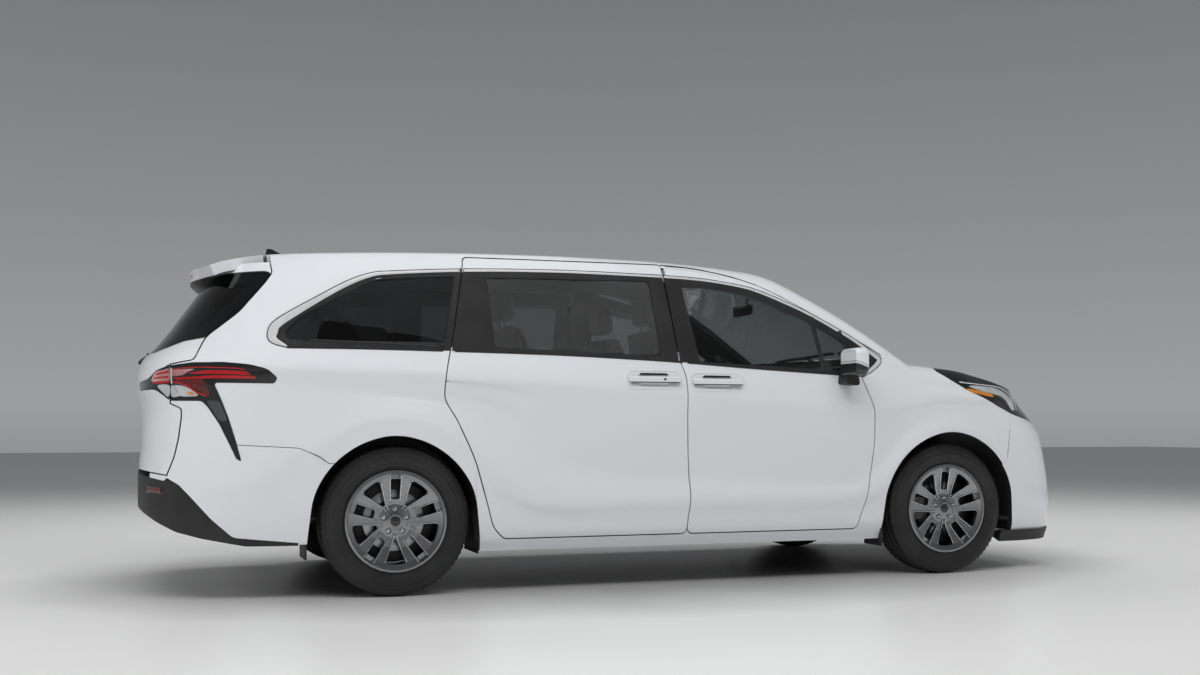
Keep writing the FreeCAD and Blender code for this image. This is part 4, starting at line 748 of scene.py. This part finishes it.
def window_trim(side, tag):
    """Black panels round the side windows, and the bright band above them on its seal, a black strip that
    also paints the shade of the gap along the band.
    """
    ring = trim_outline(PANEL_MARGIN)
    place = on_side(side)
    parts = {"front": (cut_loop(ring, B_LINE, 1), f"door_{tag}"),
             "sliding": (cut_loop(cut_loop(ring, C_LINE, 1), B_LINE, -1), "body"),
             "quarter": (cut_loop(ring, C_LINE, -1), "body")}
    for key, (loop, body) in parts.items():
        sheet_on(f"pillar_trim_{key}_{tag}", spots(loop), [rounded(WINDOWS[key])], place, BLACK_SATIN, body)
    coarse = spots(TRIM_LINE)
    fine = curve(coarse, 0.01)
    marks, run = (np.cumsum([0] + [math.dist(*two) for two in zip(way, way[1:])]) for way in (coarse, fine))
    widths = np.interp(run * marks[-1] / run[-1], marks, [w / 1000 for w in TRIM_WIDTH])
    seam_c, seam_b = ([from_middle(p) - x_on(seam, p[1] * 1000) for p in fine] for seam in (C_LINE, B_LINE))
    groups = {"quarter": ([c < -3 for c in seam_c], "body"),
              "sliding": ([c > 3 and b < -3 for c, b in zip(seam_c, seam_b)], "body"),
              "front": ([b > 3 for b in seam_b], f"door_{tag}")}
    for key, (kept, body) in groups.items():
        line = [p for p, keep in zip(fine, kept) if keep]
        wide = [float(w) for w, keep in zip(widths, kept) if keep]
        strip_on(f"bright_band_{key}_{tag}", line, wide, BAND_HEIGHT, place, CHROME_PAINTED_SHINE, body, lift=0.0014)
        # Black strip under the bright band, wider than it: a real seal, and painted shade of the gap beside
        # the band.
        wide = [w + SEAL_MARGIN for w in wide]
        strip_on(f"band_seal_{key}_{tag}", line, wide, SEAL_HEIGHT, place, BLACK_MATT, body, lift=0.0012)


WINDOW_BARS = {"divider": ([(733, 1402), (752, 1250), (768, 1104)], 0.026),
               "corner": ([(893, 1330), (925, 1230), (960, 1098)], 0.022)}
CORNER_PANEL = [(928, 1290), (1078, 1190), (1080, 1172), (1000, 1110), (968, 1102)]
CORNER_RIBS = [(972, 1046, 1212), (976, 1062, 1186), (982, 1042, 1158)]
QUARTER_RAIL = [(-1958, 1212), (-1790, 1208), (-1622, 1203), (-1440, 1197), (-1296, 1191)]


def window_details(side, tag):
    """Divider bars and the louvred corner of the front window, and the rail under the quarter window."""
    place = on_side(side)
    for key, (line, width) in WINDOW_BARS.items():
        bar = curve(spots(line), 0.03)
        strip_on(f"window_bar_{key}_{tag}", bar, width, 0.005, place, BLACK_SATIN, f"door_{tag}")
    panel = spots(CORNER_PANEL)
    sheet_on(f"corner_panel_{tag}", panel, [], place, BLACK_SATIN, f"door_{tag}", 0.0022, 0.0016)
    for k, (x0, x1, z) in enumerate(CORNER_RIBS):
        rib = spots([(x0, z), (0.5 * (x0 + x1), z - 2), (x1, z - 4)])
        strip_on(f"corner_rib_{k}_{tag}", rib, 0.009, 0.004, place, BLACK_GLOSS, f"door_{tag}", lift=0.003)
    rail = curve(spots(QUARTER_RAIL), 0.04)
    strip_on(f"quarter_rail_{tag}", rail, 0.016, 0.005, place, BLACK_GLOSS)
    belt = curve(spots(BELT_LINE), 0.03)
    parts = {"front": (-34, math.inf, f"door_{tag}"), "sliding": (-1262, -46, "body"),
             "quarter": (-math.inf, -1272, "body")}
    for key, (rear, front, body) in parts.items():
        line = [p for p in belt if rear < from_middle(p) < front]
        strip_on(f"belt_seal_{key}_{tag}", line, 0.011, 0.004, place, BLACK_MATT, body)


HANDLES = {"front": (-2, 274, 1042), "sliding": (-354, -79, 1050)}  # rear end, front end and height
HANDLE_HALF = 46
LOCK_BUTTON = (-167, 1052, 6)


def handle_details(side, tag):
    """The raised edge round each door handle's hollow, and the lock button of the sliding door."""
    place = on_side(side, 0.006)
    half, inset = HANDLE_HALF, 0.6 * HANDLE_HALF
    bend = [(half * math.sin(a), half * math.cos(a)) for a in steps(0.3, math.pi - 0.3, 7)]
    for key, (x0, x1, z) in HANDLES.items():
        ring = [(x0 + inset, z + half), (x1 - inset, z + half)] + [(x1 - inset + u, z + v) for u, v in bend]
        ring += [(x1 - inset, z - half), (x0 + inset, z - half)] + [(x0 + inset - u, z - v) for u, v in bend]
        strip_on(f"handle_edge_{key}_{tag}", spots(fine_line(ring, 12)), 0.01, 0.0022, place, PAINT_OUTER,
                 f"door_{tag}" if key == "front" else "body", lift=0.0, closed=True)
    x, z, radius = LOCK_BUTTON
    dot = [(x + radius * math.cos(a), z + radius * math.sin(a)) for a in steps(0, 2 * math.pi, 14)[:-1]]
    sheet_on(f"lock_button_{tag}", spots(dot), [], place, BLACK_GLOSS, thick=0.002)


# Lamp outlines: material, layer above the skin, and corners (degrees from the centre line, millimetres up).

TAILGATE_LAMP_PARTS = {
    "frame": (BLACK_GLOSS, 0, [
        (35.9, 1018), (36.4, 1036), (38.6, 1068), (41.9, 1083), (44.3, 1088), (44.3, 946), (43.2, 942),
        (41.6, 960), (39.4, 990), (37.5, 1004)]),
    "pale": (LAMP_ROSE, 1, [
        (38.9, 1064), (41.9, 1072), (44.2, 1076), (44.2, 1021), (38.2, 1019), (37.2, 1028)]),
    "top": (LAMP_RED, 2, [
        (39.2, 1056), (42.0, 1064), (44.2, 1068), (44.2, 1059), (42.0, 1055), (39.7, 1049)]),
    "middle": (LAMP_RED, 2, [(38.6, 1040), (44.2, 1044), (44.2, 1036), (38.4, 1034)]),
    "low": (LAMP_RED, 2, [(37.9, 1019), (44.2, 1021), (44.2, 1012), (38.2, 1011)]),
    "clear": (LAMP_PALE, 1, [(39.9, 1001), (44.2, 1001), (44.2, 951), (43.3, 951), (42.0, 968)]),
}
TAIL_LAMP_PARTS = {
    "haze": (LAMP_ROSE, 1, [
        (45.2, 1069), (48.4, 1074), (51.4, 1074), (49.6, 1060), (48.2, 1046), (45.3, 1044)]),
    "upper": (LAMP_RED, 1, [
        (49.8, 1056), (51.6, 1061), (54.6, 1068), (59.1, 1067), (63.5, 1063), (64.4, 1056), (64.8, 1047),
        (61.3, 1049), (56.9, 1052), (52.2, 1052)]),
    "lower": (LAMP_RED, 1, [
        (45.6, 1035), (51.2, 1040), (55.9, 1045), (61.3, 1044), (65.3, 1042), (66.0, 1031), (63.5, 1030),
        (56.8, 1031), (51.2, 1029), (46.5, 1027)]),
    "dotted": (LAMP_DOTTED, 1, [
        (46.3, 1022), (50.2, 1026), (53.4, 1026), (54.1, 1008), (55.2, 958), (54.5, 950), (52.6, 974),
        (49.7, 1001)]),
    "clear_rear": (LAMP_PALE, 1, [(44.95, 1001), (45.25, 1001), (46.1, 974), (47.0, 950), (44.95, 950)]),
    "clear_front": (LAMP_PALE, 1, [
        (45.9, 1000), (48.0, 999), (49.5, 990), (51.0, 974), (52.2, 951), (47.8, 950), (46.9, 970)]),
    "amber": (LAMP_AMBER, 2, [(49.5, 967), (50.6, 970), (51.5, 959), (50.9, 955)]),
    "blade_top": (BLACK_SATIN, 1, [
        (54.2, 1003), (55.1, 1003), (56.1, 972), (57.2, 931), (54.6, 931), (54.9, 950), (55.4, 958)]),
    "blade": (LAMP_GREY, 1, [(54.6, 925), (57.2, 926), (58.5, 880), (59.2, 839), (57.5, 839), (56.0, 880)]),
}
HEADLAMP_PARTS = {
    "lens": (LAMP_PALE, 1, [
        (87.3, 1039), (80.4, 1040), (71.5, 1032), (65.8, 1010), (63.0, 977), (63.4, 942), (64.9, 908),
        (66.7, 910), (69.0, 954), (70.8, 983), (75.3, 996), (82.1, 1013)]),
    "amber": (LAMP_AMBER, 1, [
        (88.4, 1025), (85.1, 1018), (77.3, 996), (77.2, 979), (82.6, 990), (87.0, 1005)]),
}
LAMP_STRIPS = {
    "lamp_split_upper": (CHROME_PAINTED_SHINE, 0.007, [(44.95, 1080), (44.97, 1058), (45.0, 1036), (45.05, 1008)]),
    "lamp_split_lower": (CHROME_PAINTED_SHINE, 0.005, [(45.4, 1001), (46.35, 974), (47.3, 950)]),
    "lamp_line_top": (LAMP_RED, 0.005, [
        (45.3, 1074), (47.9, 1079), (51.2, 1082), (54.6, 1082), (59.1, 1079), (62.2, 1076), (63.5, 1069)]),
    "lamp_sweep": (LAMP_RED, 0.008, [(45.3, 1016), (47.6, 1010), (49.9, 994), (52.1, 967), (54.3, 950)]),
    "headlamp_bright_edge": (CHROME_PAINTED_SHINE, 0.007, [
        (91.0, 1061), (86.4, 1054), (77.7, 1048), (68.6, 1040), (62.8, 1022), (59.6, 994), (60.6, 950),
        (62.6, 905)]),
    "headlamp_inner_edge": (BLACK_SATIN, 0.01, [(76.0, 990), (72.0, 955), (68.4, 915)]),
}
REFLECTOR_FRAME = [(35.4, 535), (43.3, 531), (43.3, 495), (35.4, 499)]
REFLECTOR = [(36.3, 529), (42.6, 526), (42.6, 500), (36.3, 504)]


def lamp_details():
    """Lenses, bright lines and reflectors of the lamps on both sides."""
    for tag, side in HANDS:
        tail, nose = on_corner(-1, side), on_corner(1, side)
        groups = [("tailgate_lamp", TAILGATE_LAMP_PARTS, tail, "tailgate"),
                  ("tail_lamp", TAIL_LAMP_PARTS, tail, "body"), ("headlamp", HEADLAMP_PARTS, nose, "body")]
        for group, parts, place, body in groups:
            for key, (mat, layer, outline) in parts.items():
                loop = curve(turns(outline), 0.012, closed=True)
                sheet_on(f"{group}_{key}_{tag}", loop, [], place, mat, body, lift=0.0004 + 0.0012 * layer,
                         thick=0.001, cell=0.02)
        for key, (mat, width, line) in LAMP_STRIPS.items():
            strip_on(f"{key}_{tag}", curve(turns(line), 0.012), width, 0.0022,
                     nose if key.startswith("headlamp") else tail, mat, lift=0.0012)
        sheet_on(f"reflector_frame_{tag}", turns(REFLECTOR_FRAME), [], tail, BLACK_GLOSS, thick=0.0015)
        sheet_on(f"reflector_{tag}", turns(REFLECTOR), [], tail, LAMP_DOTTED, lift=0.0022, thick=0.002)


# Doors, mirrors, wipers and the tailgate's small pieces.

DOOR_STRIPS = {  # width, height, reach of the fit, material, lift and line
    "door_top_edge": (0.019, 0.0015, 0.026, PAINT_OUTER, -0.0006, [
        (-96, 1655), (100, 1644), (300, 1604), (430, 1562), (560, 1504), (760, 1401), (930, 1307)]),
    "window_top_seal": (0.042, 0.0055, 0.016, BLACK_SATIN, 0.0005, [
        (-2, 1565), (107, 1562), (250, 1545), (380, 1520), (517, 1472), (620, 1425)]),
}


def door_strips(side, tag):
    """The painted edge of the front door along the roof rail, and the black seal over its window."""
    for key, (width, height, reach, mat, lift, points) in DOOR_STRIPS.items():
        line = curve(spots(points), 0.02)
        strip_on(f"{key}_{tag}", line, width, height, on_side(side, reach), mat, f"door_{tag}", lift)


GUARD_FACE, GUARD_THICKNESS = -1.1178 + MID, 0.003


def arch_guard(side, tag):
    """The ribbed black panel that closes the front foot of the rear wheel arch."""
    heights, widths = steps(0.188, 0.405, 8), steps(0.905, 0.62, 38)
    bow, rib = 0.0012, 0.0012
    points = []
    for z in heights:
        face = GUARD_FACE + bow * ((z - 0.36) / 0.17) ** 2
        back = face - GUARD_THICKNESS
        ribs = [(back + rib * math.cos(k * math.pi / 3), y) for k, y in enumerate(widths)]
        points += [(face, side * y, z) for y in widths]
        points += [(x, side * y, z) for x, y in reversed(ribs)]
    add_rows(f"rear_arch_guard_{tag}", points, len(heights), BLACK_MATT)


def mirror_glass(side, tag):
    """The mirror itself, set in the hollow at the back of its housing."""
    low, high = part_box(f"mirror_{tag}")
    inset, depth = Vector((0, 0.02, 0.02)), low.x + 0.0055
    low, high = low + inset, high - inset
    loop = rounded_plane(low.y, high.y, low.z, high.z, 0.026)
    points = [(depth + thick, y, z) for thick in (0, 0.0035) for y, z in loop]
    add_rows(f"mirror_glass_{tag}", points, 2, MIRROR_GLASS, f"door_{tag}", smooth=False)


def rounded_plane(y0, y1, z0, z1, radius):
    """An upright outline in metres with round corners."""
    out = []
    corners = [(y1 - radius, z1 - radius, 0), (y0 + radius, z1 - radius, 1), (y0 + radius, z0 + radius, 2),
               (y1 - radius, z0 + radius, 3)]
    for y, z, quarter in corners:
        for a in steps(quarter * math.pi / 2, (quarter + 1) * math.pi / 2, 6):
            out.append((y + radius * math.cos(a), z + radius * math.sin(a)))
    return out


WIPERS = {  # blade, arm, where they lie, body, height of the blade and lift of the arm
    "left": ([(1.415, 0.66), (1.488, 0.36), (1.515, 0.06)],
             [(1.555, 0.4), (1.5215, 0.38), (1.488, 0.36)], on_top, "body", 0.016, 0.01),
    "right": ([(1.517, 0.0), (1.496, -0.3), (1.442, -0.56)],
              [(1.574, -0.28), (1.535, -0.29), (1.496, -0.3)], on_top, "body", 0.016, 0.01),
    "rear": ([(-0.06, 1.176), (0.16, 1.17), (0.36, 1.176)],
             [(0.0, 1.135), (0.07, 1.152), (0.16, 1.17)], on_back, "tailgate", 0.014, 0.008),
}


def wipers():
    """Two parked blades with their arms on the windscreen, and one on the tailgate's glass."""
    for key, (blade, arm, place, body, height, lift) in WIPERS.items():
        strip_on(f"wiper_blade_{key}", curve(blade, 0.03), 0.012, height, place, BLACK_MATT, body)
        strip_on(f"wiper_arm_{key}", curve(arm, 0.02), 0.018, 0.012, place, BLACK_SATIN, body, lift=lift)


def tailgate_details():
    """The raised brake lamp in the spoiler's rear face and the blank number plate in its hollow."""
    lamp = rounded_plane(-0.15, 0.15, 1.573, 1.589, 0.007)
    sheet_on("brake_lamp_high", lamp, [], on_back, LAMP_RED, "tailgate", lift=0.001, thick=0.002, cell=0.05)
    plate = rounded_plane(-0.1525, 0.1525, 0.735, 0.887, 0.01)
    sheet_on("plate_blank", plate, [], on_back, PLATE_BLANK, "tailgate", lift=0.004, thick=0.0015, cell=0.06)


def inner_mirror():
    """The mirror inside the windscreen, on a short stalk."""
    x, z = 0.745 + MID, 1.512
    loop = rounded_plane(-0.125, 0.125, z - 0.034, z + 0.034, 0.022)
    points = []
    for shift, wide, high in ((-0.01, 0.96, 0.96), (-0.004, 1.0, 1.0), (0.02, 0.8, 0.7)):
        points += [(x + shift, wide * y, z + high * (h - z)) for y, h in loop]
    add_rows("inner_mirror", points, 3, BLACK_SATIN)
    roof = on_top(x + 0.03, 0.0)[0] - 0.008 * Z_AXIS
    stalk = tube("inner_mirror_stalk", [(x + 0.012, 0, z + 0.01), (x + 0.024, 0, z + 0.04), roof], 0.008)
    add("inner_mirror_stalk", stalk, BLACK_SATIN)


# Wheels, built with their outer side at +Y and their axle along Y.

def turned(name, profile, count, shape=None, closed=True):
    """A ring turned about the Y axis; profile points are (radius, y), and shape may move each point."""
    points = []
    for i in range(count):
        angle = 2 * math.pi * i / count
        for k, (r, y) in enumerate(profile):
            if shape:
                r, y = shape(i, k, r, y)
            points.append((r * math.cos(angle), y, r * math.sin(angle)))
    return mesh_of(name, points, quads(count, len(profile), joined=True, around=closed))


TYRE_WALL = [
    (0.0, 0.0245), (0.006, 0.0225), (0.015, 0.018), (0.022, 0.012), (0.0225, 0.0105), (0.028, 0.0085),
    (0.0285, 0.0075), (0.04, 0.005), (0.048, 0.0032), (0.0485, 0.0024), (0.06, 0.0008), (0.07, 0.0004),
    (0.0705, 0.0), (0.078, 0.0002), (0.0785, 0.0012), (0.092, 0.0022), (0.102, 0.0055), (0.11, 0.009),
    (0.116, 0.0125), (0.12, 0.016)]
TYRE_HALF, TYRE_RADIUS, TYRE_BEAD = 0.1175, 0.36, 0.2345
GROOVES, GROOVE_DEPTH = (0.062, 0.022), 0.0075


def tyre_mesh(name):
    """Tyre with four grooves round the tread, cross cuts at the shoulders and rings on the side walls."""
    half, radius, bead = TYRE_HALF, TYRE_RADIUS, TYRE_BEAD
    side_wall = [(bead + 0.87 * r, half - inset) for r, inset in TYRE_WALL]
    side_wall.append((radius - 0.0185, half - 0.019))
    shoulder_line = ((0.0105, 0.023), (0.006, 0.029), (0.0038, 0.035))
    tread = [(radius - drop, half - inset) for drop, inset in shoulder_line]
    for centre in GROOVES:
        crown = radius - 0.0032 * (centre / 0.085) ** 2 - 0.0004
        tread += [(crown, centre + 0.0056), (crown - GROOVE_DEPTH, centre + 0.0044),
                  (crown - GROOVE_DEPTH, centre - 0.0044), (crown, centre - 0.0056)]
    outer = side_wall + tread
    inner = [(bead + 0.004, -half + 0.036), (bead + 0.004, half - 0.036)]
    profile = outer + [(r, -y) for r, y in reversed(outer)] + inner
    shoulder = range(len(side_wall) - 3, len(side_wall) + 4)
    size = len(outer)

    def cuts(i, k, r, y):
        """Lowers every third section at the shoulders."""
        m = k if k < size else 2 * size - 1 - k
        if 0 <= m < size and m in shoulder and i % 3 == 0:
            return r - 0.0045, y * (0.994 if m < len(side_wall) else 1.0)
        return r, y

    return turned(name, profile, 216, cuts)


def place_wheel(mesh, centre, side):
    """Turns a wheel piece built with its outer side at +Y to face outwards, and moves it to its axle."""
    mesh.transform(Matrix.Translation(centre) @ Matrix.Scale(side, 4, (0, 1, 0)))
    if side < 0:
        mesh.flip_normals()


def disc_pad(name, radius, y0, y1, sides, bevel, centre=(0, 0), turn=0.0):
    """A short disc or nut along Y with a bevelled outer edge, its middle at centre in the wheel's plane."""
    points = []
    for r, y in ((radius, y0), (radius, y1 - bevel), (radius - bevel, y1)):
        for k in range(sides):
            a = turn + 2 * math.pi * k / sides
            points.append((centre[0] + r * math.cos(a), y, centre[1] + r * math.sin(a)))
    return mesh_of(name, points, quads(3, sides))


def merge(name, meshes):
    """One mesh from several."""
    points, faces = gather(meshes)
    out = bpy.data.meshes.new(name)
    out.from_pydata(points, [], faces)
    return out


SPOKE_FACE = [(0.0, 0.082), (0.032, 0.081), (0.044, 0.077), (0.08, 0.07), (0.13, 0.074),
              (0.2077, 0.0905), (0.2277, 0.0995)]
SLOT_EDGE = [(0.088, 0.0225), (0.12, 0.0245), (0.16, 0.026), (0.2, 0.027), (0.222, 0.0275)]
GAP_EDGE = [(0.062, 0.006), (0.094, 0.0125), (0.13, 0.0265), (0.165, 0.04), (0.196, 0.052)]


def spoke_ridges(name):
    """Raised edges along both sides of every spoke, in a brighter metal that paints the highlight along the
    spoke edges.
    """
    radii, depths = zip(*SPOKE_FACE)
    tubes = []
    for k in range(5):
        for line, turn in ((SLOT_EDGE, 90 + 72 * k), (GAP_EDGE, 126 + 72 * k)):
            c, s = math.cos(math.radians(turn)), math.sin(math.radians(turn))
            for sign in (-1, 1):
                path = []
                for u, v in line:
                    depth = float(np.interp(math.hypot(u, v), radii, depths))
                    path.append((u * c - sign * v * s, depth - 0.0004, u * s + sign * v * c))
                tubes.append(tube("ridge", curve(path, 0.012), 0.0036, 8))
    return merge(name, tubes)


def wheel_nuts(name):
    """Five nuts on their seats."""
    circle = 0.05715
    nuts = []
    for k in range(5):
        a = math.radians(90 + 72 * k)
        middle = (circle * math.cos(a), circle * math.sin(a))
        nuts.append(disc_pad("nut", 0.01, 0.062, 0.079, 6, 0.003, middle, a))
        nuts.append(disc_pad("seat", 0.0128, 0.0603, 0.064, 20, 0.001, middle))
    return merge(name, nuts)


WHEEL_PIECES = {"tyre_tread": (RUBBER, tyre_mesh), "wheel_nuts": (NUT_METAL_AND_EDGE_HIGHLIGHT, wheel_nuts),
                "spoke_ridges": (NUT_METAL_AND_EDGE_HIGHLIGHT, spoke_ridges)}
WHEEL_RINGS = {
    "wheel_cap_ring": (STEEL, [(0.0, 0.0805), (0.0255, 0.0805), (0.0285, 0.0815), (0.03, 0.08),
                               (0.03, 0.0775), (0.0, 0.0775)]),
    "wheel_cap": (BLACK_GLOSS, [(0.0, 0.083), (0.012, 0.0827), (0.021, 0.0818), (0.0245, 0.0808),
                                (0.0245, 0.08), (0.0, 0.08)]),
    # The brake's dust shield, carried out to the rim's barrel as a black ring that is painted shade inside
    # the wheel.
    "brake_shield": (BLACK_MATT, [(0.076, 0.0125), (0.196, 0.0125), (0.2, 0.0105), (0.076, 0.0105)]),
    "brake_disc": (STEEL, [(0.075, 0.0182), (0.1485, 0.0182), (0.149, 0.0192), (0.148, 0.0197),
                           (0.098, 0.0197), (0.096, 0.019), (0.075, 0.019)]),
}


def wheel_details(place, tag, side):
    """The dressed pieces of one wheel, with the tread in the place of the plain tyre."""
    low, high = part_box(f"tyre_{place}_{tag}")
    meshes = [(key, mat, make(f"{key}_{place}_{tag}")) for key, (mat, make) in WHEEL_PIECES.items()]
    meshes += [(key, mat, turned(f"{key}_{place}_{tag}", section, 56, closed=key.startswith("brake")))
               for key, (mat, section) in WHEEL_RINGS.items()]
    for key, mat, mesh in meshes:
        place_wheel(mesh, (low + high) / 2, side)
        piece = add(mesh.name, mesh, mat, f"wheel_{place}_{tag}", smooth=key != "wheel_nuts")
        if key == "tyre_tread":
            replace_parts(piece, f"tyre_{place}_{tag}")


# Cabin.

def loop_normals(loop):
    """The outward direction at each point of a closed outline."""
    out = []
    count = len(loop)
    for i in range(count):
        ahead = Vector(loop[(i + 1) % count]) - Vector(loop[i - 1])
        out.append(Vector((ahead.y, -ahead.x)).normalized())
    area = sum(a[0] * b[1] - b[0] * a[1] for a, b in zip(loop, loop[1:] + loop[:1]))
    return out if area > 0 else [-n for n in out]


def pad(name, outline, y0, y1, radius, crown, seams):
    """A stuffed form: a side outline drawn across the car, rounded at its ends, with sewn channels."""
    loop = rounded(outline, 16)
    normals = loop_normals(loop)
    middle, half = (y0 + y1) / 2, (y1 - y0) / 2
    straight = y1 - y0 - 2 * radius
    turn = steps(0, math.pi / 2, 6)
    stations = [(y0 + radius * (1 - math.cos(a)), radius * (1 - math.sin(a))) for a in turn]
    ends = [(y0 + y1 - y, inset) for y, inset in reversed(stations)]
    inner = int(max(4, straight // 0.012))
    stations += [(y0 + radius + straight * k / inner, 0.0) for k in range(1, inner)] + ends
    points = []
    for y, inset in stations:
        u = (y - middle) / half
        groove = sum(0.007 * math.exp(-((y - middle - s) / 0.006) ** 2) for s in seams)
        for p, n in zip(loop, normals):
            q = Vector(p) + n * (crown * (1 - u * u) - inset - groove)
            points.append((q.x, y, q.y))
    piece = add_rows(name, points, len(stations), SEAT_CLOTH)
    return piece


LEAN = math.tan(math.radians(14.0))


def seat_pieces(tag, node, x, y, width, heads, floor):
    """Cushion, backrest and headrests of one seat, in the room of its plain solid, from millimetres."""
    top = floor + 375
    y0, y1 = (y - width / 2) / 1000, (y + width / 2) / 1000
    seams = [-width / 2000 + 0.095, width / 2000 - 0.095]
    if len(heads) > 1:
        seams += [-0.14, 0.14]
    cushion = [(x - 60, top - 135, 30), (x + 320, top - 125, 40), (x + 374, top + 4, 60),
               (x + 325, top + 26, 40), (x + 25, top - 12, 40), (x - 40, top - 20, 30)]
    hx = x - 560 * LEAN
    back = [(x - 112, top - 110, 50), (x - 20, top - 60, 50), (x + 14, top + 20, 60),
            (hx - 46, top + 552, 46), (hx - 126, top + 566, 40), (x - 162, top - 40, 60)]
    pieces = [pad(f"{tag}_cushion", cushion, y0 + 0.004, y1 - 0.004, 0.045, 0.006, seams),
              pad(f"{tag}_backrest", back, y0 + 0.004, y1 - 0.004, 0.05, 0.006, seams)]
    hx -= 85
    head = [(hx - 48, top + 602, 30), (hx + 38, top + 598, 34), (hx + 20, top + 752, 34),
            (hx - 58, top + 748, 34)]
    for k, place in enumerate(heads):
        y_head = place / 1000
        pieces.append(pad(f"{tag}_headrest_{k}", head, y_head - 0.122, y_head + 0.122, 0.035, 0.004, []))
        rods = []
        for dy in (-0.05, 0.05):
            foot = Vector(((hx - 2) / 1000 + MID, y_head + dy, (top + 540) / 1000))
            rods.append(tube("rod", [foot, foot + Vector((-0.014, 0, 0.075))], 0.006))
        add(f"{tag}_headrest_rods_{k}", merge("rods", rods), STEEL)
    for piece in pieces:
        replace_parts(piece, node)
    shell = [(x - 60, floor + 4, 20), (x + 270, floor + 4, 20), (x + 285, top - 125, 20),
             (x - 60, top - 135, 20)]
    base = extruded(f"{tag}_base", rounded(shell), y0 + 0.04, y1 - 0.04)
    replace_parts(add(f"{tag}_base", base, TRIM_DARK), node)


def extruded(name, loop, y0, y1):
    """A solid with a side outline in metres, between two widths across the car."""
    return mesh_of(name, [(x, y, z) for y in (y0, y1) for x, z in loop], quads(2, len(loop)))


def tube(name, line, radius, sides=12):
    """A round bar along a line of points."""
    points = []
    line = [Vector(p) for p in line]
    for i, p in enumerate(line):
        along = (line[min(i + 1, len(line) - 1)] - line[max(i - 1, 0)]).normalized()
        a = along.orthogonal().normalized()
        b = along.cross(a)
        for k in range(sides):
            t = 2 * math.pi * k / sides
            points.append(p + a * (radius * math.cos(t)) + b * (radius * math.sin(t)))
    return mesh_of(name, points, quads(len(line), sides))


def cabin():
    """The dressed seats of all three rows."""
    for tag, side in HANDS:
        y = 370 * side
        seat_pieces(f"front_seat_{tag}", "front_seats", 200, y, 500, [y], 400)
        seat_pieces(f"middle_seat_{tag}", "middle_seats", -620, y, 500, [y], 400)
    seat_pieces("rear_seat", "rear_bench", -1500, 0, 1240, [-420, 0, 420], 430)


for hand, sign in HANDS:
    for dress in (window_trim, window_details, handle_details, door_strips, arch_guard, mirror_glass):
        dress(sign, hand)
lamp_details()
wipers()
tailgate_details()
inner_mirror()
for axle in ("front", "rear"):
    for hand, sign in HANDS:
        wheel_details(axle, hand, sign)
cabin()
make_stage()
make_light()
make_camera()
